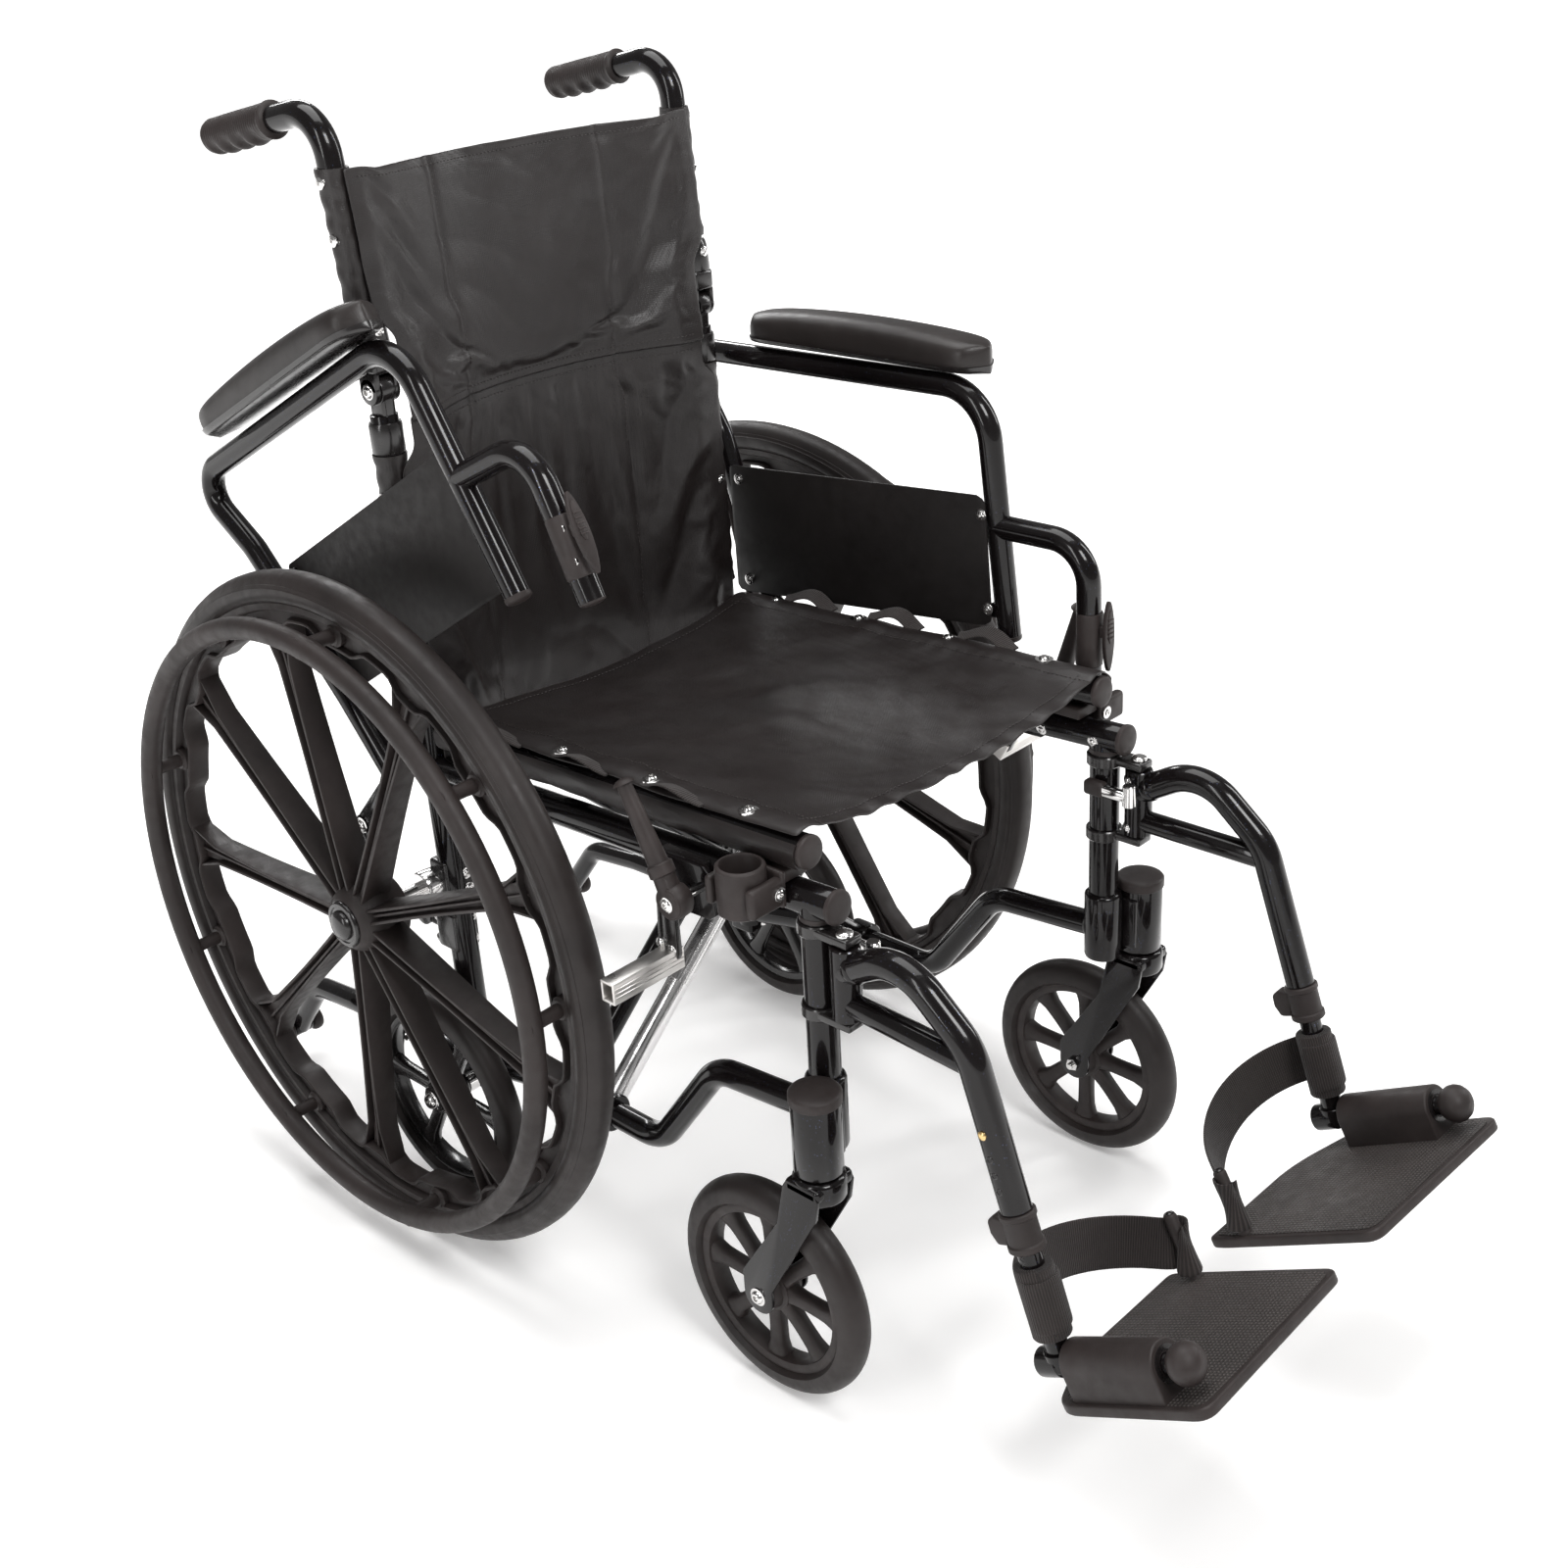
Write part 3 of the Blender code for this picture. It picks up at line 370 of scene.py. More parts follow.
def sweep(path, radius, bend=40.0, sides=22, steps=9, size=None, flat=1.0):
    """Round or oval bar along a path with rounded corners; size(t) scales it along the way."""
    points = rounded(path, bend, steps)
    lengths = [0.0]
    for a, b in zip(points, points[1:]):
        lengths.append(lengths[-1] + (b - a).length)
    direction = (points[1] - points[0]).normalized()
    normal = direction.orthogonal().normalized()
    rings, uvs = [], []
    for i, point in enumerate(points):
        ahead = (points[min(i + 1, len(points) - 1)] - points[max(i - 1, 0)]).normalized()
        normal = direction.rotation_difference(ahead) @ normal
        direction = ahead
        side = direction.cross(normal)
        scale = radius * (size(lengths[i] / lengths[-1]) if size else 1.0)
        angles = [math.tau * k / sides for k in range(sides)]
        rings.append([point + (normal * math.cos(a) * flat + side * math.sin(a)) * scale for a in angles])
        uvs += [(lengths[i], radius * a) for a in angles]
    return skin(rings, uvs=uvs)


def turn(a, b, stations, sides=28):
    """Turned bar: stations are (distance from a in mm, radius)."""
    a, b = Vector(a), Vector(b)
    along = (b - a).normalized()
    normal = along.orthogonal().normalized()
    side = along.cross(normal)
    rings, uvs = [], []
    for distance, radius in stations:
        angles = [math.tau * k / sides for k in range(sides)]
        rings.append([a + along * distance + (normal * math.cos(v) + side * math.sin(v)) * max(radius, 0.02)
                      for v in angles])
        uvs += [(v * radius, distance) for v in angles]
    return skin(rings, uvs=uvs)


def rod(a, b, radius, sides=28, chamfer=0.8):
    length = (Vector(b) - Vector(a)).length
    return turn(a, b, [(0, radius - chamfer), (chamfer * 0.3, radius - chamfer * 0.3), (chamfer, radius),
                       (length - chamfer, radius), (length - chamfer * 0.3, radius - chamfer * 0.3),
                       (length, radius - chamfer)], sides)


def dome(a, b, radius, sides=28, flat=0.55):
    """Cap from a towards b: straight wall, then a domed top."""
    length = (Vector(b) - Vector(a)).length
    wall = length * (1 - flat)
    stations = [(0, radius - 0.6), (0.6, radius), (wall, radius)]
    for k in range(1, 7):
        t = k / 6 * math.pi / 2
        stations.append((wall + (length - wall) * math.sin(t), radius * max(math.cos(t), 0.03)))
    return turn(a, b, stations, sides)


def screw(at, axis, radius=4.0, height=2.4, washer=1.5):
    axis = Vector(axis).normalized()
    r, h = radius, height
    return turn(at, Vector(at) + axis, [(-0.6, r * washer), (0.7, r * washer), (0.9, r * washer * 0.94), (0.9, r),
                                        (h * 0.6, r * 0.95), (h, r * 0.74), (h + 0.25, r * 0.5),
                                        (h + 0.2, r * 0.42), (h * 0.45, r * 0.36), (h * 0.4, r * 0.02)], 20)


def nut(at, axis, radius=6.0, height=5.0):
    axis = Vector(axis).normalized()
    hexagon = turn(at, Vector(at) + axis, [(0, radius * 0.94), (0.5, radius), (height - 0.6, radius),
                                           (height, radius * 0.9)], 6)
    stud = turn(at, Vector(at) + axis, [(height - 1, radius * 0.5), (height + 3.2, radius * 0.5),
                                        (height + 3.8, radius * 0.36)], 16)
    return join(hexagon, stud)


def block(low, high, soft=1.6, segments=3):
    x0, y0, z0 = (min(a, b) for a, b in zip(low, high))
    x1, y1, z1 = (max(a, b) for a, b in zip(low, high))
    shape = skin([[(x, y0, z0), (x, y1, z0), (x, y1, z1), (x, y0, z1)] for x in (x0, x1)])
    return bevelled(shape, soft, segments) if soft else shape


def plate(outline, x0, x1, soft=0.6, segments=2):
    shape = skin([[(x, y, z) for y, z in outline] for x in (min(x0, x1), max(x0, x1))])
    return bevelled(shape, soft, segments) if soft else shape


def link(a, b, width, x0, x1, soft=0.8, end_width=None):
    """Flat bar with round ends between two (y, z) points."""
    a, b = Vector(a), Vector(b)
    along = (b - a).normalized()
    across = Vector((-along.y, along.x))
    outline = []
    for centre, sign, w in ((b, 1, end_width or width), (a, -1, width)):
        for k in range(9):
            v = math.pi * (k / 8 - 0.5)
            outline.append(tuple(centre + (along * math.cos(v) + across * math.sin(v)) * sign * w / 2))
    return plate(outline, x0, x1, soft)


def lathe(profile, centre, segments=72, axis=(1, 0, 0)):
    turn_to = Vector((1, 0, 0)).rotation_difference(Vector(axis).normalized())
    rings = []
    for k in range(segments):
        v = math.tau * k / segments
        found = profile(v) if callable(profile) else profile
        rings.append([turn_to @ Vector((a, r * math.cos(v), r * math.sin(v))) + Vector(centre)
                      for a, r in found])
    return skin(rings, closed=True)


def turned(shape, degrees, pivot):
    centre = Vector((0, *pivot))
    spin = Matrix.Rotation(math.radians(degrees), 3, "X")
    return ([spin @ (Vector(p) - centre) + centre for p in shape[0]], shape[1],
            shape[2] if len(shape) > 2 else None)


def make(name, body, material, *shapes, replaces=(), smooth=38, ride=True):
    points, faces, uvs = join(*shapes)
    mesh = bpy.data.meshes.new(name)
    mesh.from_pydata([Vector(p) * MM + DATUM for p in points], [], faces)
    bm = bmesh.new()
    bm.from_mesh(mesh)
    bmesh.ops.recalc_face_normals(bm, faces=bm.faces)
    bm.to_mesh(mesh)
    bm.free()
    layer = mesh.uv_layers.new(name="UVMap")
    for loop in mesh.loops:
        layer.data[loop.index].uv = uvs[loop.vertex_index]
    mesh.materials.append(MATERIALS[material])
    mesh.shade_smooth()
    mesh.set_sharp_from_angle(angle=math.radians(smooth))
    piece = bpy.data.objects.new(name, mesh)
    bpy.context.scene.collection.objects.link(piece)
    if ride:
        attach(piece, body)
    if replaces:
        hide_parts(*replaces)
    return piece


# ------------------------------------------------------------------ wheels

def arc_gap(angle, count, start):
    """Signed distance in degrees from the nearest of evenly spaced directions."""
    step = 360.0 / count
    return (math.degrees(angle) - start + step / 2) % step - step / 2


def smooth(value, low, high):
    t = min(1.0, max(0.0, (value - low) / (high - low)))
    return t * t * (3 - 2 * t)


def around(angle_deg, radius, centre_z=WHEEL_R):
    """(y, z) on the push wheel; angles run from the front over the top."""
    v = math.radians(angle_deg)
    return -math.cos(v) * radius, centre_z + math.sin(v) * radius


def push_wheel(s, side):
    x = s * WHEEL_X
    centre = (x, 0, WHEEL_R)
    body = f"push_wheel_{side}"
    tyre = []
    for a, r in ((-11.5, -24), (11.5, -24), (15.2, -21.5), (16.4, -18.5), (16.9, -15), (16.2, -11.6), (15.6, -11.4),
                 (15.2, -10.6), (14.2, -8.6), (13.6, -8.5), (13.0, -7.5), (11.0, -4.4), (8.6, -2.0), (5.4, -0.6),
                 (2.6, 0), (-2.6, 0), (-5.4, -0.6), (-8.6, -2.0), (-11.0, -4.4), (-13.0, -7.5), (-13.6, -8.5),
                 (-14.2, -8.6), (-15.2, -10.6), (-15.6, -11.4), (-16.2, -11.6), (-16.9, -15), (-16.4, -18.5),
                 (-15.2, -21.5)):
        tyre.append((a, WHEEL_R + r))
    make(f"tyre_{side}", body, RUBBER, lathe(tyre, centre, 144), replaces=[f"wheel_tyre_{side}"], smooth=45)

    step = 360.0 / SPOKES

    def rim_section(v):
        # lathe angles run from +y over the top, spokes are given from the front
        seen = 180.0 - math.degrees(v)
        to_post = abs((seen - SPOKE_START) % step - step / 2)
        to_spoke = min((seen - SPOKE_START) % step, step - (seen - SPOKE_START) % step)
        inner = WHEEL_R - 41.5 - 9.5 * (1 - smooth(to_post, 4.2, 8.5))
        inner -= 10.0 * (1 - smooth(to_spoke, 2.0, 6.5)) ** 1.6
        deep = inner + 3.2
        out = []
        for sign in (1, -1):
            side_points = [(sign * 8.5, inner), (sign * 10.2, inner + 0.6), (sign * 10.8, inner + 1.8),
                           (sign * 10.4, deep), (sign * 5.8, deep + 1.2), (sign * 5.8, WHEEL_R - 32.5),
                           (sign * 10.4, WHEEL_R - 31.0), (sign * 11.6, WHEEL_R - 30.0), (sign * 11.8, WHEEL_R - 25.0),
                           (sign * 11.2, WHEEL_R - 24.0)]
            out += side_points if sign > 0 else side_points[::-1]
        return out

    parts = [lathe(rim_section, centre, 270)]
    hub = [(-s * 25, 7), (-s * 26, 9), (-s * 26, 27.5), (-s * 24, 30), (-s * 8, 31), (0, 33), (s * 9, 31), (s * 17, 27),
           (s * 21, 23.5), (s * 22, 22), (s * 22, 9), (s * 21, 7)]
    parts.append(lathe(hub, centre, 64))
    for k in range(SPOKES):
        v = SPOKE_START + step * k
        out_y, out_z = -math.cos(math.radians(v)), math.sin(math.radians(v))

        def at(r, across, along):
            return (x + along, out_y * r - out_z * across, WHEEL_R + out_z * r + out_y * across)

        def beam(stations):
            return skin([[at(r, c0, -d), at(r, c1, -d), at(r, c1, d), at(r, c0, d)] for r, c0, c1, d in stations])

        near, far, steps = 24.0, WHEEL_R - 45.0, 7
        for sign in (-1, 1):
            stations = []
            for i in range(steps + 1):
                t = i / steps
                half = 7.0 + 4.0 * t - 2.2 * math.sin(math.pi * t)
                if t > 0.86:
                    half += 9 * (t - 0.86) / 0.14
                depth = 15.0 - 6.0 * t
                edge = sorted((sign * half, sign * (half - 2.7)))
                stations.append((near + (far - near) * t, edge[0], edge[1], depth))
            parts.append(bevelled(beam(stations), 0.7, 2, 40))
        stations = []
        for i in range(steps + 1):
            t = i / steps
            half = 6.6 + 4.0 * t - 2.2 * math.sin(math.pi * t)
            stations.append((near + (far - near) * t, -half, half, 3.2))
        parts.append(beam(stations))
        ridge = [(near + (far - near) * t, -1.3, 1.3, 11.5 - 5.0 * t) for t in (0, 0.5, 1)]
        parts.append(bevelled(beam(ridge), 0.5, 1, 40))
    for k in range(SPOKES):
        y, z = around(SPOKE_START + step * (k + 0.5), HANDRIM_R)
        parts.append(turn((x + s * 4, y, z), (x + s * 30, y, z), [(0, 10.5), (6.5, 10.2), (8, 8.6), (9, 8.2), (9.5, 6)], 26))
    make(f"rim_{side}", body, MATT, *parts, replaces=[f"wheel_rim_{side}"], smooth=33)

    ring = [(s * (HANDRIM_X - WHEEL_X) + HANDRIM_TUBE * math.cos(math.tau * k / 20),
             HANDRIM_R + HANDRIM_TUBE * math.sin(math.tau * k / 20)) for k in range(20)]
    parts = [lathe(ring, centre, 160)]
    for k in range(SPOKES):
        y, z = around(SPOKE_START + step * (k + 0.5), HANDRIM_R)
        parts.append(turn((s * (WHEEL_X + 12), y, z), (s * HANDRIM_X, y, z),
                          [(0, 5.4), (3, 6.2), (12, 5.8), (26, 5.9), (31, 7.2), (34, 9.0)], 22))
    make(f"push_ring_{side}", body, MATT, *parts, replaces=[f"handrim_{side}"])

    cap = turn((s * 283, 0, WHEEL_R), (s * 300, 0, WHEEL_R),
               [(0, 20), (3, 21), (5.2, 20.6), (6.4, 19.4), (6.6, 16.6), (5.6, 15.8), (5.8, 13.6), (8.5, 13.2), (10.6, 11.6),
                (12.0, 8.4), (12.8, 4.0), (13.0, 0.1)], 48)
    axle_body = f"wheel_axle_{side}"
    make(f"axle_cap_{side}", axle_body, DARK, cap)
    shaft = turn((s * 157, 0, WHEEL_R), (s * 289, 0, WHEEL_R),
                 [(0, 3.5), (2, 5.2), (5, 6), (126, 6), (127, 5.8)], 28)
    detents = [turn((s * 163, sign * 3, WHEEL_R), (s * 163, sign * 9, WHEEL_R), [(0, 2.4), (3, 2.3), (4.2, 1.4), (4.5, 0.2)], 14)
               for sign in (-1, 1)]
    make(f"axle_{side}", axle_body, CHROME, shaft, *detents, replaces=[f"wheel_axle_{side}"])


def small_wheel(s, body, node, at, radius, width, spokes, hub_half, hole, label):
    """One-piece wheel with paddle spokes, a rounded tyre and a stepped hub."""
    x, y0, z0 = at
    half = width / 2
    tyre = [(-half * 0.62, radius - 21)]
    tyre.append((half * 0.62, radius - 21))
    for k in range(15):
        v = math.pi * (k / 14 - 0.5)
        tyre.append((half * 0.99 * max(-1, min(1, math.cos(v) ** 0.8 if math.cos(v) > 0 else 0)) if False else
                     -half * 0.98 * math.sin(v), radius - 17.5 + 17.5 * max(math.cos(v), 0.0) ** 0.75))
    tyre = tyre[:2] + tyre[2:]
    make(f"{label}_tyre", body, RUBBER, lathe(tyre, at, 96), smooth=50)
    rim = [(-half * 0.66, radius - 20.5), (-half * 0.72, radius - 23), (-half * 0.6, radius - 27.5), (-half * 0.3, radius - 29),
           (half * 0.3, radius - 29), (half * 0.6, radius - 27.5), (half * 0.72, radius - 23), (half * 0.66, radius - 20.5)]
    hub = [(-hub_half, hole), (-hub_half, 12), (-hub_half + 2, 14), (-half * 0.62, 15.5), (-half * 0.52, 19),
           (half * 0.52, 19), (half * 0.62, 15.5), (hub_half - 2, 14), (hub_half, 12), (hub_half, hole)]
    parts = [lathe(rim, at, 96), lathe(hub, at, 48)]
    for k in range(spokes):
        v = math.tau * k / spokes
        c, sn = math.cos(v), math.sin(v)

        def ring(r, w, d):
            out = []
            for q in range(16):
                u = math.tau * q / 16
                cu, su = math.cos(u), math.sin(u)
                across = w * abs(cu) ** 0.55 * (1 if cu > 0 else -1)
                along = d * abs(su) ** 0.75 * (1 if su > 0 else -1)
                out.append((x + along, y0 + c * r - sn * across, z0 + sn * r + c * across))
            return out

        inner, outer = 16, radius - 26.5
        stations = []
        for i in range(9):
            t = i / 8
            w = 6.2 + 1.4 * t + 4.5 * max(0, t - 0.8) / 0.2 + 2.4 * max(0, 0.18 - t) / 0.18
            stations.append(ring(inner + (outer - inner) * t, w, half * (0.52 - 0.1 * math.sin(math.pi * t))))
        parts.append(skin(stations))
    make(f"{label}_core", body, DARK if spokes == 6 else MATT, *parts, replaces=[node], smooth=42)


def casters(s, side):
    x = s * CASTER_X
    small_wheel(s, f"caster_wheel_{side}", f"caster_wheel_{side}", (x, CASTER_AXLE_Y, CASTER_R), CASTER_R, 28, 8,
                16.4, 5.7, f"caster_{side}")
    body = f"caster_fork_{side}"
    crown = turn((x, CASTER_Y, 204), (x, CASTER_Y, 226), [(0, 17), (1, 19.5), (3, 20.6), (17, 20.6), (19, 19.6), (20.6, 17)], 40)
    stem = rod((x, CASTER_Y, 222), (x, CASTER_Y, 275), 8.5)
    parts = [crown, stem]
    for inner, outer in ((-17.4, -20.6), (17.4, 20.6)):
        outline = []
        for k in range(13):
            v = math.pi * (1 + k / 12)
            outline.append((CASTER_AXLE_Y + 15 * math.cos(v), CASTER_R + 15 * math.sin(v)))
        outline += [(CASTER_AXLE_Y + 15, 112), (CASTER_Y + 27, 176), (CASTER_Y + 19, 214), (CASTER_Y + 15, 221),
                    (CASTER_Y - 12, 221), (CASTER_Y - 16, 214), (CASTER_Y - 13, 196), (CASTER_AXLE_Y - 15, 104)]
        parts.append(plate(outline, x + inner, x + outer, 0.7, 3))
    parts.append(block((x - 20.6, CASTER_Y - 16, 211), (x + 20.6, CASTER_Y + 17, 222), 3.5))
    make(f"caster_fork_piece_{side}", body, GLOSS, *parts, replaces=[f"caster_fork_{side}"])
    bolts = [rod((x - 21, CASTER_AXLE_Y, CASTER_R), (x + 21, CASTER_AXLE_Y, CASTER_R), 5),
             screw((x + s * 20.6, CASTER_AXLE_Y, CASTER_R), (s, 0, 0), 5.6, 3.4, 1.35),
             nut((x - s * 20.6, CASTER_AXLE_Y, CASTER_R), (-s, 0, 0), 6.2, 4.0)]
    make(f"caster_bolt_{side}", body, CHROME, *bolts)


def transport_wheel(s, side):
    body = f"transport_wheel_{side}"
    small_wheel(s, body, f"transport_wheel_{side}", (s * SMALL_X, SMALL_Y, SMALL_Z), SMALL_R, 26, 6, 16.4, 7.2,
                f"transport_{side}")
    make(f"transport_bolt_{side}", f"side_frame_{side}", CHROME,
         rod((s * 201, SMALL_Y, SMALL_Z), (s * 238, SMALL_Y, SMALL_Z), 6),
         turn((s * 201, SMALL_Y, SMALL_Z), (s * 189, SMALL_Y, SMALL_Z), [(0, 9.5), (1, 10.5), (11, 10.5)], 28),
         screw((s * 236.6, SMALL_Y, SMALL_Z), (s, 0, 0), 8.0, 4.6, 1.2))


def antitipper(s, side):
    x, axle = s * 185.0, (285.0, 43.0)
    body = f"antitip_tube_{side}"
    tail = sweep([(x, 12, 119.2), (x, 165, 115.6), (x, 234, 108), (x, *axle)], 10.4, 34)
    make(f"antitip_arm_{side}", body, GLOSS, tail, rod((x - 10.4, *axle), (x + 10.4, *axle), 9.5),
         replaces=[body])
    make(f"antitip_pins_{side}", body, CHROME, rod((x - 23, *axle), (x + 23, *axle), 3.4),
         turn((x + s * 10, 74, 117.6), (x + s * 14, 74, 117.6), [(0, 3.6), (2.5, 3.6), (3.6, 2.4), (3.9, 0.2)], 20),
         screw((x + s * 21.6, *axle), (s, 0, 0), 3.6, 2.0), screw((x - s * 21.6, *axle), (-s, 0, 0), 3.6, 2.0))
    for tag, shift in (("inner", -s * 16.5), ("outer", s * 16.5)):
        roll = [(-5.2, 4.2), (5.2, 4.2), (5.4, 9.4), (4.6, 11.2), (2.8, 12.3), (0, 12.6), (-2.8, 12.3), (-4.6, 11.2), (-5.4, 9.4)]
        make(f"antitip_roller_{side}_{tag}", f"antitip_wheels_{side}", MATT, lathe(roll, (x + shift, *axle), 48),
             replaces=[f"antitip_wheel_{side}_{tag}"], smooth=50)


# ------------------------------------------------------------------ side frames

def side_frame(s, side):
    x = s * FRAME_X
    body = f"side_frame_{side}"
    lean = (SMALL_Y, SMALL_Z)
    tubes = [rod((x, -468, tube_z(-468)), (x, -8, tube_z(-8)), TUBE_R),
             rod((x, -448, 430), (x, -448, 232), TUBE_R),
             turn((x, -448, 287), (x, -448, 225), [(0, 13.2), (1.4, 15.2), (3, 16), (59, 16), (62, 15)]),
             turn((s * CASTER_X, CASTER_Y, 288), (s * CASTER_X, CASTER_Y, 226.5), [(0, 18.6), (1, 19), (60, 19), (61.5, 18.2)], 40),
             block((s * 186, -474, 233), (s * 200, -446, 280), 2.0),
             sweep([(x, -448, 252), (x, -332, 242), (x, -258, RAIL_Z), (x, -120, RAIL_Z), (x, lean[0], 120)], 11, 40),
             rod((x, -8, 414), (x, *lean), TUBE_R),
             rod((x, -8, 410), (x, 0, 722), 11.5),
             rod((s * 185, -16, 120), (s * 185, 62, 118.1), 14.2),
             block((s * 169, -22, 128), (s * 187, 6, 96), 3.0)]
    weld = [turn((x, -448 - 5, 252.4), (x, -448 + 17, 250.6), [(13.4, 12.4), (15, 12.9), (17, 12.6), (18.5, 11.3)], 24)]
    castings = [block((s * 170.2, -10, 706), (s * 183.2, 10, 744), 3.5),
                rod((s * 170.6, 0, HINGE_Z), (s * 183.4, 0, HINGE_Z), 12.2, 36),
                turn((x, -0.8, 690), (x, -0.2, 716), [(0, 12.6), (2, 13.8), (24, 13.8), (26, 13)]),
                block((s * 164, -17, 284), (s * 191, 5, 327), 3.0),
                block((s * 163, -22, 292), (s * 180, -12, 319), 2.0),
                block((s * 164, -20, 238), (s * 190, 8, 276), 3.0),
                block((s * 172, -2, 249), (s * 182, 47, 267), 3.2),
                rod((s * 172, *ARM_PIVOT), (s * 183, *ARM_PIVOT), 11.5, 32),
                block((s * 186, -352, 425), (s * 199, -306, 437.5), 1.6)]
    for z in (348, 416):
        castings.append(plate([(HANGER_Y + 9 * math.cos(math.radians(a)), 0) for a in ()] or
                              [(-486, z - 7), (-444, z - 7), (-444, z), (-486, z)], s * 172, s * 190, 1.8, 3))
        castings.append(turn((x, -448, z - 9), (x, -448, z + 1), [(0, 14.4), (1, 15.2), (9, 15.2), (10, 14.4)]))
    make(f"frame_tubes_{side}", body, GLOSS, *tubes, *weld, replaces=[f"side_frame_{side}"])
    make(f"frame_castings_{side}", body, DARK, *castings)

    caps = [dome((x, -466, tube_z(-466)), (x, -471.5, tube_z(-471.5)), 13.4, flat=0.4),
            dome((s * CASTER_X, CASTER_Y, 286), (s * CASTER_X, CASTER_Y, 297), 20.2, 40, 0.35),
            turn((x, -448, 421.5), (x, -448, 418), [(0, 13.2), (3.5, 13.2)])]
    make(f"frame_caps_{side}", body, MATT, *caps)
    bright = [turn((s * 187, 0, WHEEL_R), (s * 207, 0, WHEEL_R), [(0, 13.6), (1, 14.2), (18.5, 14.2), (20, 13.2)]),
              turn((s * 163, 0, WHEEL_R), (s * 154, 0, WHEEL_R), [(0, 13.6), (1, 14), (7, 14), (8.4, 12.4)]),
              nut((s * 155, 0, WHEEL_R), (-s, 0, 0), 10.5, 0.5),
              screw((s * 214, *ARM_PIVOT), (s, 0, 0), 6.4, 3.6, 1.3),
              rod((s * 165.5, 0, HINGE_Z), (s * 188.5, 0, HINGE_Z), 4),
              screw((s * 188.4, 0, HINGE_Z), (s, 0, 0), 5.4, 2.8, 1.2),
              rod((s * HANGER_X, HANGER_Y, 344), (s * HANGER_X, HANGER_Y, 412), 3.9),
              dome((s * HANGER_X, HANGER_Y, 416), (s * HANGER_X, HANGER_Y, 420), 6.5)]
    for y, z, way in ((-22, 298, -1), (-22, 313, -1), (-20, 246, -1), (-20, 268, -1)):
        bright.append(screw((s * 171.5, y, z), (0, way, 0), 4.0, 2.4, 1.4))
        bright.append(nut((s * 171.5, 5.5 if z > 280 else 8.0, z), (0, 1, 0), 5.6, 4.2))
        bright.append(nut((s * 184.5, 5.5 if z > 280 else 8.0, z - 3), (0, 1, 0), 4.6, 3.6))
    for y, z in ((-340, 431), (-318, 431)):
        bright.append(screw((s * 199, y, z), (s, 0, 0), 3.6, 1.0))
    for z in (640, 560, 490):
        bright.append(screw((x + s * 11.2, -0.9, z), (s, 0, 0), 3.4, 2.2))
    for y in (-444, -392):
        bright.append(screw((x - s * 11.6, y, tube_z(y) - 3), (-s, 0, -0.3), 3.4, 2.2))
    make(f"frame_hardware_{side}", body, CHROME, *bright)


def arm_socket(s, side):
    body = f"side_frame_{side}"
    x = s * ARM_X
    cup = lathe([(0, 2.0), (0, 16), (1.6, 18.2), (34.5, 18.6), (37, 18.4), (38.2, 17.2), (38.4, 15.6), (37, 14.8),
                 (17, 14.7), (16, 13), (16, 2.0)], (x, -408, 424), 48, axis=(0, 0, 1))
    base = block((s * 190.6, -433, 427), (s * 195.6, -385, 456), 2.2)
    front = block((s * 193, -433.5, 429), (s * 226, -424.4, 452), 3.6)
    rear = block((s * 193, -391.6, 429), (s * 226, -384.5, 452), 3.2)
    top = rail_z(-388) - TUBE_R - 0.6
    low = tube_z(-408) + TUBE_R + 1.3
    saddle = bevelled(skin([[(px, -430, low), (px, -388, low), (px, -388, top), (px, -430, top)]
                            for px in sorted((s * 165.2, s * 193))]), 1.6, 3)
    make(f"socket_{side}", body, MATT, cup, base, front, rear, saddle, replaces=[f"arm_socket_{side}"])
    make(f"socket_screws_{side}", body, CHROME, screw((s * 199, -434, 441), (0, -1, 0), 3.6, 1.8),
         screw((s * 213, -384.2, 441), (0, 1, 0), 3.6, 1.8))


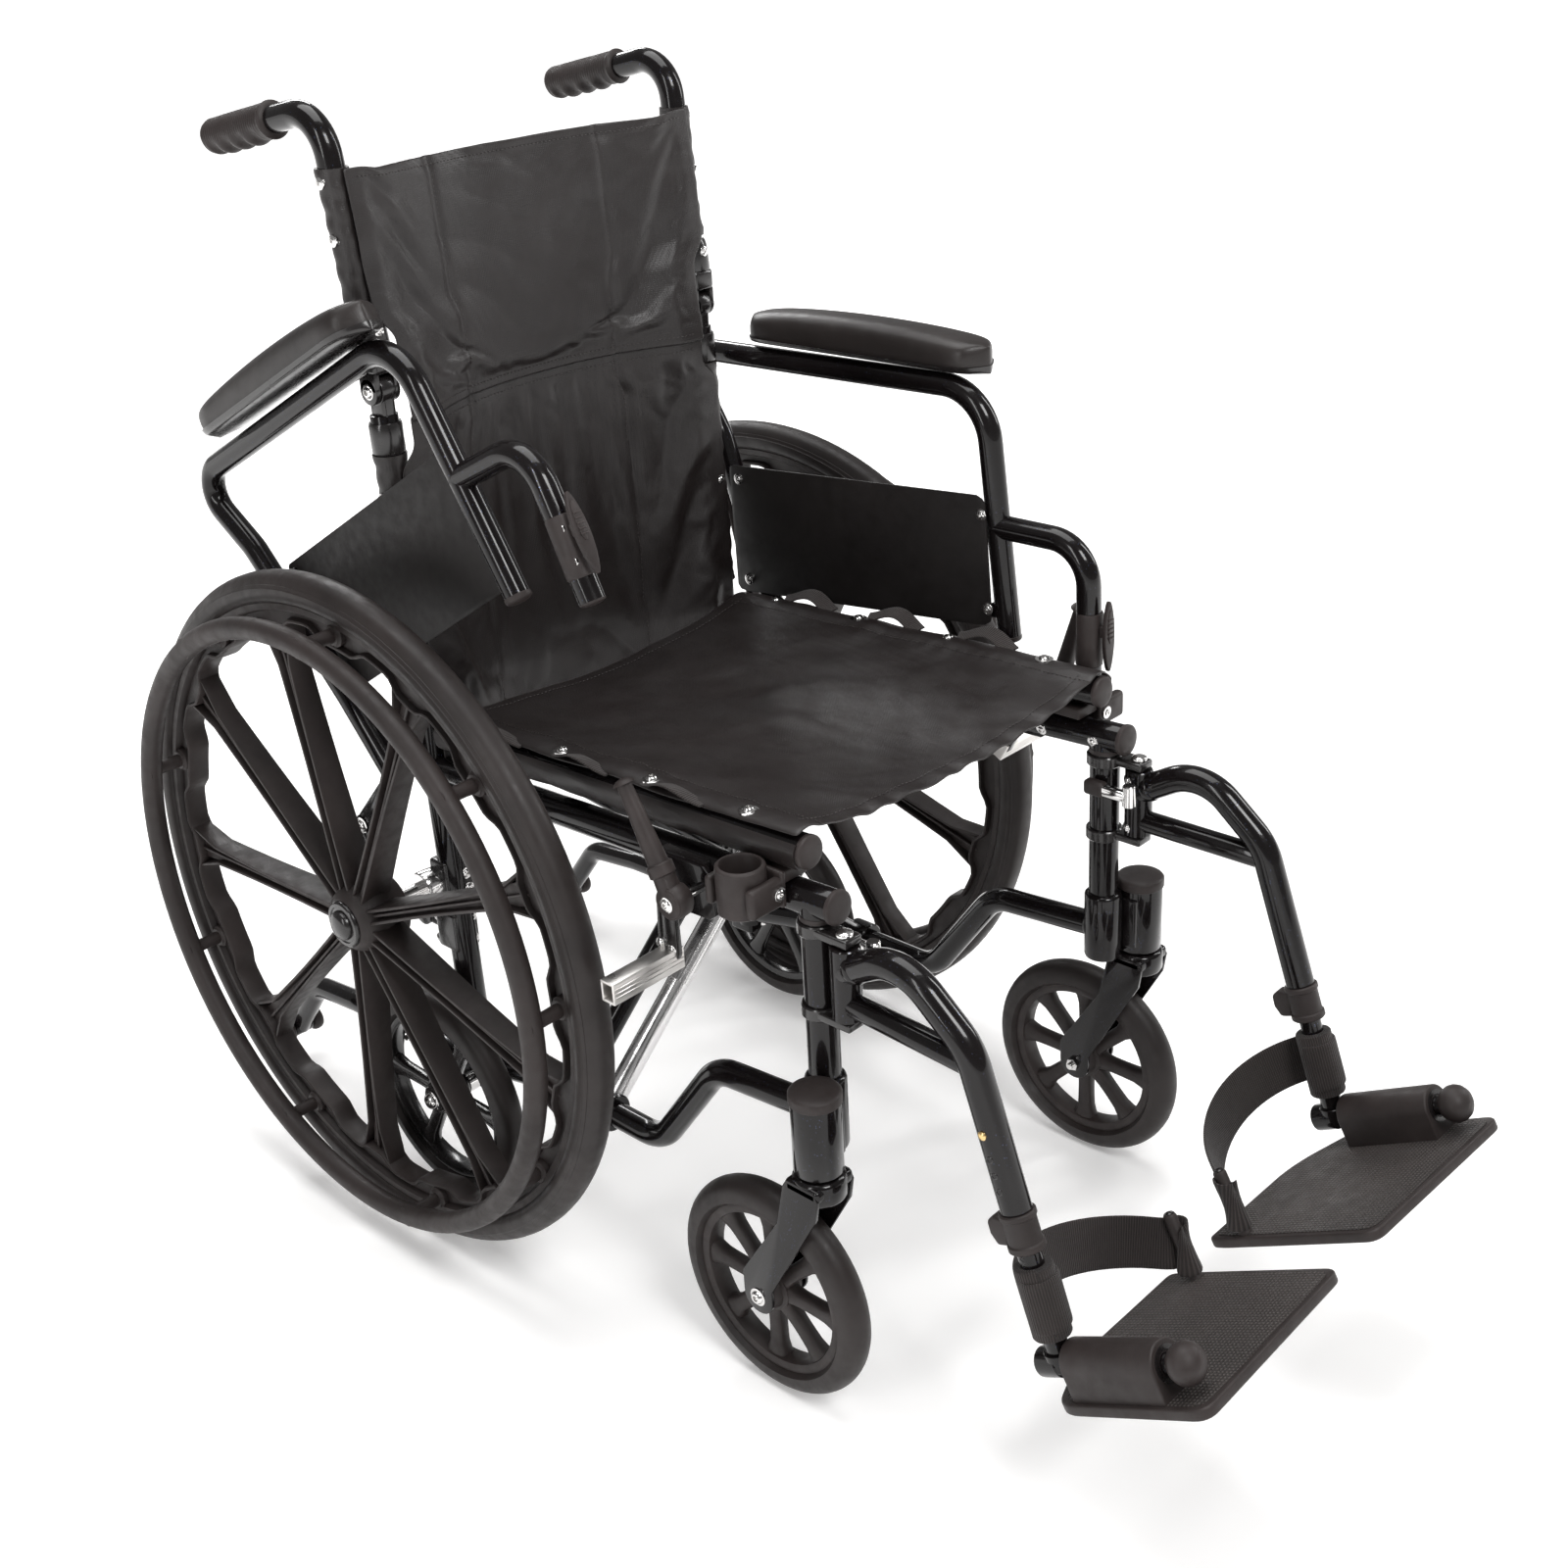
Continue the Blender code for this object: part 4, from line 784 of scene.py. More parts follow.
def brace():
    top = rail_z(BRACE_Y)
    for s, name, lanes in ((-1, "brace_outer", (-1, 1)), (1, "brace_inner", (0,))):
        foot, head = s * FRAME_X, -s * (FRAME_X + 0.5)
        rail = rod((head, -443, rail_z(-443)), (head, -30, rail_z(-30)), TUBE_R)
        black = [rail]
        silver = []
        reach = 21 * max(abs(v) for v in lanes) + 11
        black.append(turn((foot, BRACE_Y - reach, RAIL_Z), (foot, BRACE_Y + reach, RAIL_Z),
                          [(0, 15.4), (1, 16.4), (2 * reach - 1, 16.4), (2 * reach, 15.4)], 36))
        for lane in lanes:
            y = BRACE_Y + lane * 21
            arm = rod((foot, y, RAIL_Z), (head, y, top), 9.9)
            if name == "brace_outer" and lane == -1:
                silver.append(arm)
            else:
                black.append(arm)
            black.append(turn((head, y - 11, top - 1), (head, y + 11, top - 1), [(0, 12.9), (1, 13.4), (21, 13.4), (22, 12.9)]))
        make(f"{name}_tubes", name, GLOSS, *black, replaces=[name])
        if silver:
            a, b = Vector((foot, BRACE_Y - 21, RAIL_Z)), Vector((head, BRACE_Y - 21, top))
            wrap = turn(a.lerp(b, 0.26), a.lerp(b, 0.40), [(0, 10.0), (0.3, 10.4), (66, 10.4), (66.3, 10.0)], 40)
            make("brace_silver_arm", name, SILVER, *silver, wrap)
        make(f"{name}_end_caps", name, MATT,
             dome((head, -441, rail_z(-441)), (head, -447.5, rail_z(-447.5)), 12.9, flat=0.4),
             dome((head, -32, rail_z(-32)), (head, -27, rail_z(-27)), 13.2, flat=0.4))
    z = (RAIL_Z + top) / 2
    bolt = [rod((0, BRACE_Y - 36, z), (0, BRACE_Y + 36, z), 4),
            screw((0, BRACE_Y - 32, z), (0, -1, 0), 6.4, 4.4, 1.25), nut((0, BRACE_Y + 32, z), (0, 1, 0), 7.6, 4.4)]
    make("brace_bolt_piece", "brace_outer", CHROME, *bolt, replaces=["brace_bolt"])


# ------------------------------------------------------------------ armrests

def crowned(y0, y1, half_width, z_low, z_high, centre_x, ends=34.0, stations=44):
    """Moulded pad: rounded ends in plan, crowned top and a narrower foot."""
    rings, uvs = [], []
    for i in range(stations + 1):
        u = -math.cos(math.pi * i / stations)
        y = (y0 + y1) / 2 + u * (y1 - y0) / 2
        to_end = min(y - y0, y1 - y) / ends
        plan = math.sqrt(max(1e-4, 1 - max(0.0, 1 - to_end) ** 2))
        w = max(half_width * (0.30 + 0.70 * plan) if to_end < 1 else half_width, 1)
        w *= 0.06 + 0.94 * min(1.0, math.sqrt(max(to_end, 0.0)) * 1.6)
        crown = (z_high - z_low) * (0.62 + 0.38 * max(0.0, math.sin(math.pi * (y - y0) / (y1 - y0))) ** 0.4)
        ring = []
        for k in range(32):
            a = math.tau * k / 32
            c, sn = math.cos(a), math.sin(a)
            px = w * abs(c) ** 0.62 * (1 if c > 0 else -1)
            if sn > 0:
                pz = z_low + 11 + (crown - 11) * abs(sn) ** 0.74
            else:
                pz = z_low + 11 - 11 * abs(sn) ** 0.5
                px *= 0.985 if sn > -0.6 else 0.94
            ring.append((centre_x + px, y, pz))
        rings.append(ring)
    return skin(rings)


def armrest(s, side):
    x, flip = s * ARM_X, ARM_FLIP[s]
    body = f"armrest_{side}"

    def place(name, material, *shapes, replaces=(), body=body):
        return make(name, body, material, *[turned(shape, flip, ARM_PIVOT) for shape in shapes], replaces=replaces)

    main = sweep([(x, -59, 387), (x, -38, 462), (x, 14, 612), (x, 62, 690), (x, -302, 694), (x, -325, 480)], ARM_R, 48, 24, 12)
    branch = sweep([(x, -312, 578), (x, -406, 578), (x, -408, 456)], ARM_R, 36, 24, 12)
    bar = [link((-56, 384), (28, 352), 18, s * 205.2, s * 210.2), link((28, 352), ARM_PIVOT, 20, s * 205.2, s * 210.2)]
    tabs = [block((s * 201, y - 7, z - 6.5), (s * 206, y + 7, z + 6.5), 1.2) for y, z in ((-16, 575), (-308, 590), (-319, 505))]
    place(f"arm_frame_{side}", GLOSS, main, branch, *bar, *tabs, replaces=[f"arm_tube_{side}"])
    place(f"arm_plugs_{side}", MATT,
          dome((x, -408, 458), (x, -408, 452.5), 10.2), dome((x, -324.6, 482), (x, -325.4, 475), 10.9))
    place(f"arm_screws_{side}", CHROME,
          *[screw((s * 197.9, y, z), (-s, 0, 0), 3.5, 1.8) for y, z in ((-18, 575), (-306, 590), (-312, 507), (-24, 476))],
          screw((s * 210.4, 28, 352), (s, 0, 0), 5.0, 2.6), screw((s * 210.4, -52, 384), (s, 0, 0), 4.6, 2.6))

    pad = crowned(-297, -27, 24.6, 705.0, 738.0, s * 223.5)
    lip = crowned(-298, -26, 25.6, 704.4, 722, s * 223.5)
    flat_lip = ([Vector((p[0], p[1], min(p[2], 711.5))) for p in lip[0]], lip[1], None)
    place(f"pad_{side}", VINYL, pad, replaces=[f"arm_pad_{side}"]).data.set_sharp_from_angle(angle=math.radians(60))
    place(f"pad_base_{side}", DARK, flat_lip)

    outline = [(-10, 587), (-292, 606), (-300, 606.4), (-306, 604), (-309.5, 599), (-315, 503), (-314, 495), (-308, 491),
               (-300, 489.5), (-20, 463), (-12, 463.5), (-8, 468), (-6.2, 580), (-7, 585)]
    place(f"panel_{side}", PANEL, plate(outline, s * 198.0, s * 200.1, 0.5, 2), replaces=[f"arm_panel_{side}"])

    lever = []
    for k in range(40):
        a = math.tau * k / 40
        along, across = 31 * math.sin(a), 6.9 * math.cos(a) * (1 - 0.25 * math.sin(a) ** 2)
        lever.append((x + across, -425, 503 + along))
    front = [(px, y - 3.4, z) for px, y, z in lever]
    back = [(px, y + 0.5, z) for px, y, z in lever]
    paddle = bevelled(skin([front, back]), 1.6, 3, 50)
    inset = [(x + 3.6 * math.cos(math.tau * k / 28), 0, 512 + 15 * math.sin(math.tau * k / 28)) for k in range(28)]
    recess = bevelled(skin([[(px, -429.2, z) for px, _, z in inset], [(px, -427.0, z) for px, _, z in inset]]), 0.6, 2, 50)
    ribs = [block((x - 3.4, -430.0, z - 0.7), (x + 3.4, -428.4, z + 0.7), 0.3, 2) for z in (502, 506, 510, 514, 518)]
    place(f"latch_lever_{side}", MATT, paddle, recess, *ribs, block((x - 5, -425, 502), (x + 5, -420.8, 512), 1.0),
          replaces=[f"arm_latch_{side}"], body=f"arm_latch_{side}")
    place(f"latch_case_{side}", MATT, turn((x, -407.6, 474), (x, -408.2, 522), [(0, 10.6), (1.0, 11.4), (45, 11.4), (47, 10.6)], 32),
          block((x - 6.5, -418.0, 478), (x + 6.5, -400, 519), 2.0))
    place(f"latch_pins_{side}", CHROME, *[screw((x + s * 6.5, -414, z), (s, 0, 0), 2.6, 1.4) for z in (486, 511)])


# ------------------------------------------------------------------ leg rests

def ribbon(path, ups, width, thickness, start=0.0):
    """Flat strap along a path; ups gives the width direction at each point."""
    rings, uvs = [], []
    travelled = start
    for i, (point, up) in enumerate(zip(path, ups)):
        ahead = (path[min(i + 1, len(path) - 1)] - path[max(i - 1, 0)]).normalized()
        up = (up - ahead * up.dot(ahead)).normalized()
        out = ahead.cross(up)
        if i:
            travelled += (path[i] - path[i - 1]).length
        ring = []
        for u, v in ((-0.5, -0.30), (-0.47, -0.5), (-0.25, -0.5), (0, -0.5), (0.25, -0.5), (0.47, -0.5), (0.5, -0.30),
                     (0.5, 0.30), (0.47, 0.5), (0.25, 0.5), (0, 0.5), (-0.25, 0.5), (-0.47, 0.5), (-0.5, 0.30)):
            ring.append(point + up * width * u + out * thickness * v)
            uvs.append((travelled, width * u))
        rings.append(ring)
    return skin(rings, uvs=uvs)


def leg_rest(s, side):
    x = s * LEG_X
    pivot = s * HANGER_X
    body = f"hanger_{side}"
    main = sweep([(pivot, HANGER_Y, 388), (x, -534, 420), (x, -592, 371), (x, *leg_point(118))], 11.4, 52, 26, 14)
    strut = rod((pivot, HANGER_Y, 362), (x, *leg_point(12)), 9.4)
    sleeve = turn((pivot, HANGER_Y, 349), (pivot, HANGER_Y, 408), [(0, 10.6), (0.8, 11.4), (58, 11.4), (59, 10.6)])
    beads = [turn((pivot, HANGER_Y, 388), (x, -534, 420), [(8, 11.4), (10.5, 12.2), (13, 12.4), (15, 11.5)], 26)]
    make(f"hanger_tubes_{side}", body, GLOSS, main, strut, sleeve, *beads, replaces=[body])
    holes, buttons = [], []
    front = Vector((0, -0.947, 0.32))
    outward = Vector((s, 0, 0))
    spot = Vector((x, *leg_point(58)))
    buttons.append(turn(spot + outward * 9, spot + outward * 14, [(0, 3.4), (3.2, 3.4), (4.3, 2.3), (4.6, 0.2)], 20))
    make(f"snap_button_{side}", body, BRASS, *buttons)
    for d in (76, 88, 100):
        at = Vector((x, *leg_point(d))) + outward * 10.4
        holes.append(turn(at, at + outward, [(0, 2.7), (0.9, 2.7), (1.25, 2.2), (0.6, 1.8), (0.5, 0.1)], 16))
    make(f"hanger_holes_{side}", body, DARK, *holes)
    make(f"hanger_rivets_{side}", body, CHROME,
         screw((pivot - s * 9, HANGER_Y + 5, 399), (-s, 0.5, 0), 3.4, 2.0),
         screw((pivot - s * 9, HANGER_Y + 5, 356), (-s, 0.5, 0), 3.4, 2.0))

    latch_x = s * 159
    make(f"hanger_lever_{side}", f"hanger_latch_{side}", CHROME,
         turn((latch_x, -484, 384), (latch_x, -484, 403), [(0, 4.8), (0.8, 5.5), (18, 5.5), (19, 4.6)]),
         block((s * 153.2, -483, 388.4), (s * 160.8, -446, 397.6), 1.8), replaces=[f"hanger_latch_{side}"])
    make(f"hanger_lever_tip_{side}", f"hanger_latch_{side}", MATT, block((s * 152, -462, 386.5), (s * 162, -443, 399.5), 3.0))

    ext = f"leg_extension_{side}"
    shaft = rod((x, *leg_point(36)), (x, *leg_point(238)), 8.6)
    stub = rod((x, -661, 145), (x, *stub_point(116)), 7.5)
    elbow = turn((x, *stub_point(-10)), (x, *stub_point(11)), [(0, 9), (1.4, 10.8), (3, 11), (19, 11), (21, 9.4)])
    tail = dome((x, *leg_point(226)), (x, *leg_point(243)), 10.4, flat=0.3)
    make(f"leg_tube_{side}", ext, GLOSS, shaft, stub, elbow, tail, replaces=[f"leg_extension_{side}"])
    holes = []
    for d in (152, 156.5):
        at = Vector((x, *leg_point(d))) + outward * 7.6
        holes.append(turn(at, at + outward, [(0, 1.9), (0.9, 1.9), (1.2, 1.5), (0.5, 1.2)], 14))
    at = stub_point(104)
    collar_y, collar_z = leg_point(134)
    collar = turn((x, *leg_point(119)), (x, *leg_point(148)), [(0, 12.4), (1, 13.3), (4, 13.4), (5, 12.2), (23, 12.2), (24, 13.4), (28, 13.4), (29, 12.4)], 36)
    lobe = [bevelled(skin([[(px, collar_y + 7, collar_z - 15), (px, collar_y + 17, collar_z - 19), (px, collar_y + 24, collar_z - 12),
                            (px, collar_y + 27, collar_z - 3), (px, collar_y + 22, collar_z + 4), (px, collar_y + 10, collar_z + 5)]
                           for px in (x - 6, x + 6)]), 2.6, 4)]
    knob = turn((x, *stub_point(108)), (x, *stub_point(133)),
                [(0, 7.6), (1, 9.0), (4, 12.0), (8, 14.2), (12, 14.8), (16, 13.9), (20, 11.2), (22.5, 7.6), (23.8, 3.6), (24.1, 0.2)], 40)
    make(f"leg_collar_{side}", ext, MATT, collar, *lobe, knob)
    make(f"leg_holes_{side}", ext, DARK, *holes)

    foot = f"footplate_{side}"
    inner = 24.6
    corner_list = ((inner, -10, 10), (inner, 130, 12), (207.4, 138, 14), (207.4, 8, 16), (148, -22, 26), (inner + 2, -23.4, 12))
    outline = []
    count = len(corner_list)
    for i, (px, a, r) in enumerate(corner_list):
        here = Vector((px, a))
        to_last = (Vector(corner_list[i - 1][:2]) - here)
        to_next = (Vector(corner_list[(i + 1) % count][:2]) - here)
        cut_by = min(r, to_last.length * 0.45, to_next.length * 0.45)
        p0, p2 = here + to_last.normalized() * cut_by, here + to_next.normalized() * cut_by
        for k in range(7):
            t = k / 6
            outline.append(p0 * (1 - t) ** 2 + here * 2 * t * (1 - t) + p2 * t ** 2)

    def at_plate(px, a, above):
        return (s * px, *stub_point(a, above))

    base = bevelled(skin([[at_plate(p.x, p.y, h) for p in outline] for h in (-29.8, -21.6)]), 1.6, 3, 50)
    centre = Vector((116, 59))
    tread_outline = [centre + (p - centre) * 0.945 for p in outline]
    grid = skin([[at_plate(p.x, p.y, h) for p in tread_outline] for h in (-22.5, -21.0)])
    grid_uvs = [(p.x, p.y) for _ in range(2) for p in tread_outline]
    make(f"tread_{side}", foot, TREAD, (grid[0], grid[1], grid_uvs), smooth=30)

    def hinge_outline(a, grow=0.0):
        out = []
        for k in range(19):
            v = math.pi * k / 18
            out.append(at_plate(LEG_X + (16.6 + grow) * math.cos(v), a, (16.6 + grow) * math.sin(v)))
        return out + [at_plate(LEG_X - 16.6 - grow, a, -24), at_plate(LEG_X + 16.6 + grow, a, -24)]

    barrel = bevelled(skin([hinge_outline(20.5), hinge_outline(103.6)]), 1.5, 3, 50)
    ribs = []
    for a in range(26, 104, 9):
        if a in (62,):
            continue
        ribs.append(turn(at_plate(LEG_X - 13, a, -28.6), at_plate(LEG_X + 17, a, -28.6), [(0, 2.4), (1.5, 3.2), (28.5, 3.2), (30, 2.4)], 16))
    stripes = [bevelled(skin([[at_plate(px, a, h) for px, a in ((30, a0), (168, a0), (168, a0 + 2.2), (30, a0 + 2.2))]
                              for h in (-31.0, -29.0)]), 0.5, 2) for a0 in (10, 40, 70, 100)]
    post = turn(at_plate(34, 8, -23), at_plate(34, 8, 30), [(0, 6.4), (2, 5.4), (51, 5.2), (53, 4.4)], 24)
    make(f"footplate_body_{side}", foot, MATT, base, barrel, *ribs, *stripes, post, replaces=[foot])
    socket = turn(at_plate(LEG_X, 103.4, 0), at_plate(LEG_X, 106, 0), [(0, 12.6), (0.7, 12.6), (0.75, 9.0), (-1.5, 8.6), (-1.6, 0.1)], 32)
    make(f"hinge_mouth_{side}", foot, DARK, socket)
    make(f"strap_screw_{side}", foot, DARK, screw(at_plate(34, 8, 30), Vector(at_plate(34, 8, 31)) - Vector(at_plate(34, 8, 30)), 3.2, 1.4, 1.2))

    # heel loop: round the leg sleeve, across in a deep bow, then round the post
    leg_up = Vector((0, 0.32, 0.947)).normalized()
    post_up = Vector((0, math.sin(math.radians(29)), math.cos(math.radians(29))))
    hub = Vector((x, *leg_point(187)))
    post_mid = Vector(at_plate(34, 8, 4))
    path, ups = [], []
    side_dir = Vector((s, 0, 0))
    back_dir = leg_up.cross(side_dir) * (1 if leg_up.cross(side_dir).y > 0 else -1)
    for k in range(15):
        v = math.radians(200 - 290 * k / 14)
        path.append(hub + (side_dir * math.cos(v) * -1 + back_dir * math.sin(v) * -1) * 15.6)
        ups.append(leg_up)
    path, ups = [], []
    for k in range(13):
        v = math.radians(-180 + 200 * k / 12)
        path.append(hub - side_dir * 15.4 * math.sin(v - math.radians(110)) * 1.0 + back_dir * 15.4 * math.cos(v - math.radians(110)))
        ups.append(leg_up)
    wrap = path[:]
    start = wrap[-1]
    end = post_mid + Vector((s * 4.5, 6.6, 0))
    span = []
    for k in range(1, 24):
        t = k / 24
        bow = math.sin(math.pi * t) ** 0.85
        lean = 3 * t * t - 2 * t ** 3
        span.append(start.lerp(end, lean * 0.35 + t * 0.65) + Vector((0, 44 * bow, -3 * bow)))
    tail_loop = []
    for k in range(12):
        v = math.radians(70 + 290 * k / 11)
        tail_loop.append(post_mid + Vector((s * math.cos(v) * 6.9, math.sin(v) * 6.9, 0)))
    whole = wrap + span + tail_loop
    whole_ups = [leg_up] * len(wrap)
    for k in range(len(span)):
        whole_ups.append(leg_up.lerp(post_up, (k + 1) / len(span)).normalized())
    whole_ups += [post_up] * len(tail_loop)
    strap = make(f"heel_strap_{side}", None, WEB, ribbon(whole, whole_ups, 39, 2.2), smooth=60, ride=False)
    subdivide(strap, 1)
    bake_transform(strap)
    seam = [span[-3 - k] for k in (0, 4)]
    for index, point in enumerate(seam):
        line = stitches([point + post_up * (j * 3.4 - 17) for j in range(11)], Vector((s * 0.75, 0.6, 0)), 1.35)
        thread = make(f"heel_stitch_{side}_{index}", None, THREAD, *line, ride=False)
        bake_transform(thread)
    tube_uv = turn((x, *leg_point(160)), (x, *leg_point(214)), [(0, 10.5), (0.6, 13.6), (1.6, 14.2), (52.4, 14.2), (53.4, 13.6), (54, 10.5)], 48)
    make(f"strap_sleeve_{side}", ext, WEB, tube_uv, replaces=[f"heel_loop_{side}"])


def stitches(points, normal, lift, radius=0.42, length=2.3):
    """Short raised threads laid along a seam, one between each pair of points."""
    out = []
    normal = Vector(normal).normalized() if normal is not None else None
    for a, b in zip(points, points[1:]):
        a, b = Vector(a), Vector(b)
        mid, way = (a + b) / 2, (b - a).normalized()
        half = min(length, (b - a).length * 0.8) / 2
        lifted = normal * lift if normal is not None else Vector((0, 0, 0))
        out.append(turn(mid - way * half + lifted, mid + way * half + lifted,
                        [(0, radius * 0.4), (radius, radius), (2 * half - radius, radius), (2 * half, radius * 0.4)], 6))
    return out


def subdivide(piece, levels):
    modifier = piece.modifiers.new("smooth", "SUBSURF")
    modifier.levels = modifier.render_levels = levels
    bpy.context.view_layer.update()
    done = bpy.data.meshes.new_from_object(piece.evaluated_get(bpy.context.evaluated_depsgraph_get()))
    piece.modifiers.clear()
    piece.data = done


# ------------------------------------------------------------------ wheel locks

def wheel_lock(s, side):
    handle_turn, shoe_turn = LOCK_TURN[s]
    frame_body = f"side_frame_{side}"
    make(f"lock_plate_{side}", frame_body, GLOSS,
         plate([(-372, 404), (-368, 438), (-362, 442), (-306, 440), (-303, 430), (-318, 402), (-340, 398), (-366, 399)],
               s * 200.2, s * 204.8, 0.9, 3), replaces=[f"lock_body_{side}"])
    make(f"lock_pins_{side}", frame_body, CHROME,
         rod((s * 201, *LOCK_PIVOT), (s * 239, *LOCK_PIVOT), 3.9), rod((s * 201, *SHOE_PIVOT), (s * 221.5, *SHOE_PIVOT), 3.9),
         screw((s * 238.6, *LOCK_PIVOT), (s, 0, 0), 5.0, 2.4, 1.25), screw((s * 221, *SHOE_PIVOT), (s, 0, 0), 4.6, 2.2, 1.2),
         screw((s * 204.8, -312, 432), (s, 0, 0), 3.8, 1.8))

    x = s * 231
    pivot = Vector((x, *LOCK_PIVOT))

    def swing(shape):
        return turned(shape, handle_turn, LOCK_PIVOT)

    hub = [rod((x - 6.9, *LOCK_PIVOT), (x + 6.9, *LOCK_PIVOT), 12.6),
           link((-358, 424), (-351, 438), 17, x - 6, x + 6, 1.4, 15)]
    hub.append(turn((x - s * 9, *LOCK_PIVOT), (x + s * 9, *LOCK_PIVOT),
                    [(0, 11.4), (2, 13.0), (9, 13.8), (14, 13.0), (16.6, 10.6), (17, 6.6), (15.6, 6.2), (15.4, 0.1)], 36))
    lever = sweep([(x, -356, 428), (x, -350, 440), (x, -314, 506)], 9.6, 10, 24, 8,
                  size=lambda t: 0.86 + 0.24 * t if t < 0.94 else (1.08 - 0.5 * ((t - 0.94) / 0.06) ** 2))
    top = Vector((x, -314, 506))
    way = Vector((0, 36, 66)).normalized()
    end = turn(top - way * 1, top + way * 5, [(0, 8.6), (2, 7.4), (3.6, 5.0), (4.4, 2.0), (4.5, 0.1)], 24)
    step = turn(Vector((x, -350, 440)) + way * 2, Vector((x, -350, 440)) + way * 12, [(0, 8.6), (1.2, 10.2), (9, 10.2), (10, 9.0)], 24)
    make(f"lock_lever_{side}", f"lock_handle_{side}", MATT, *[swing(p) for p in hub + [lever, end, step]],
         replaces=[f"lock_handle_{side}"])

    y, z = -335, 363

    def move(shape):
        return turned(shape, shoe_turn, SHOE_PIVOT)

    bar = []
    for y0, y1, z0, z1 in ((y - 7, y + 7, z + 6.6, z + 9), (y - 7, y + 7, z - 9, z - 6.6), (y - 7, y - 4.8, z - 8, z + 8), (y + 4.8, y + 7, z - 8, z + 8)):
        bar.append(block((s * 211.2, y0, z0), (s * 282.8, y1, z1), 0.7, 2))
    bar.append(block((s * 211.2, y - 6, z - 8), (s * 228, y + 6, z + 8), 0.5, 1))
    ribs = [block((s * 212, y - 7.35, z + dz), (s * 282, y - 6.6, z + dz + 1.2), 0.3, 1) for dz in (-4, -0.5, 3)]
    make(f"lock_bar_{side}", f"lock_shoe_{side}", ALLOY, *[move(p) for p in bar + ribs], replaces=[f"lock_shoe_{side}"])
    links = [link(SHOE_PIVOT, (y - 1, z + 5), 13, s * 213.8, s * 219.2, 1.0, 15), rod((s * 213, *SHOE_PIVOT), (s * 220, *SHOE_PIVOT), 9.2),
             link((SHOE_PIVOT[0] + 8, SHOE_PIVOT[1] - 4), (y + 9, z + 9), 8, s * 214.4, s * 218.6, 0.8)]
    make(f"lock_links_{side}", f"lock_shoe_{side}", DARK, *[move(p) for p in links])
    make(f"lock_rivets_{side}", f"lock_shoe_{side}", CHROME,
         *[move(screw((s * 219.2, ry, rz), (s, 0, 0), 3.8, 2.2, 1.15)) for ry, rz in ((y - 3, z + 8), (y + 9, z + 10))])


# ------------------------------------------------------------------ back canes

def ribbed_grip(start, direction, length):
    """Hand grip: fine rings on top, four finger hollows underneath and a flanged end."""
    direction = direction.normalized()
    side = Vector((1, 0, 0))
    up = side.cross(direction).normalized()
    if up.z < 0:
        up = -up
    rings, uvs = [], []
    steps = 150
    for i in range(steps + 1):
        d = length * i / steps
        ring = []
        edge = min(d, length - d)
        for k in range(36):
            v = math.tau * k / 36
            c, sn = math.cos(v), math.sin(v)
            r = 14.1 + 0.35 * math.cos(math.tau * d / 3.1) * smooth(sn, -0.45, 0.1) * smooth(d, 5, 8)
            below = smooth(-sn, 0.05, 0.8) * smooth(d, 10, 16) * smooth(length - d, 4, 9)
            r += below * (0.4 + 2.0 * math.cos(math.tau * (d - 8) / 20.5))
            if edge < 3:
                r -= 2.4 * (1 - edge / 3) ** 2
            if d < 6:
                r += 1.2 * math.sin(math.pi * min(d, 6) / 6)
            ring.append(start + direction * d + (side * c + up * sn) * r)
            uvs.append((d, r * v))
        rings.append(ring)
    return skin(rings, uvs=uvs)


def back_cane(s, side):
    body = f"back_cane_{side}"
    x = s * 183
    crook, end = Vector((x, 22, 958)), Vector((x, 168, 931))
    cane = sweep([(s * 178, 1, 757), (s * 181, 14, 880), tuple(crook), tuple(end)], 10.9, 44, 26, 14)
    make(f"cane_tube_{side}", body, GLOSS, cane, replaces=[body])
    castings = [block((s * 165.2, -12.6, 755.4), (s * 188.8, 12.6, 774), 4.0),
                turn((s * 177.6, 0.4, 772), (s * 178.6, 3.0, 800), [(0, 13.6), (2, 14.2), (22, 13.4), (26, 12.4), (28, 11.4)], 32)]
    for x0, x1 in ((165.2, 170.2), (183.8, 188.8)):
        castings.append(plate([(-10.6, 742), (-10.6, 757), (10.6, 757), (10.6, 742)], s * x0, s * x1, 0.8, 2))
        castings.append(rod((s * x0, 0, HINGE_Z), (s * x1, 0, HINGE_Z), 11))
    make(f"hinge_casting_{side}", body, DARK, *castings)
    make(f"hinge_bolts_{side}", body, CHROME,
         screw((s * 188.8, -1, 765), (s, 0, 0), 3.6, 2.2), screw((s * 179, -11.5, 790), (0, -1, 0), 3.0, 1.6),
         screw((s * 190.6, 11, 860), (s, 0.1, 0), 3.2, 1.6), screw((s * 193, 16, 905), (s, 0.1, 0), 3.2, 1.6))
    make(f"back_release_lever_{side}", f"back_latch_{side}", MATT,
         block((s * 172.2, 13.6, 756.4), (s * 181.8, 19, 772), 1.6), block((s * 172.2, 16.4, 755.2), (s * 181.8, 24, 762), 2.2),
         replaces=[f"back_latch_{side}"])
    start = crook.lerp(end, 0.42)
    length = (end - start).length + 8
    make(f"hand_grip_{side}", body, MATT, ribbed_grip(start, end - start, length), replaces=[f"push_grip_{side}"])


# ------------------------------------------------------------------ fabric

COLUMNS, ROWS = 72, 56
SEAM_AT = 0.50


def sheet(place, columns=COLUMNS, rows=ROWS):
    points = [Vector(place(-1 + 2 * i / columns, j / rows)) for j in range(rows + 1) for i in range(columns + 1)]
    faces = []
    for j in range(rows):
        for i in range(columns):
            a = j * (columns + 1) + i
            faces.append((a, a + 1, a + columns + 2, a + columns + 1))
    return points, faces, None


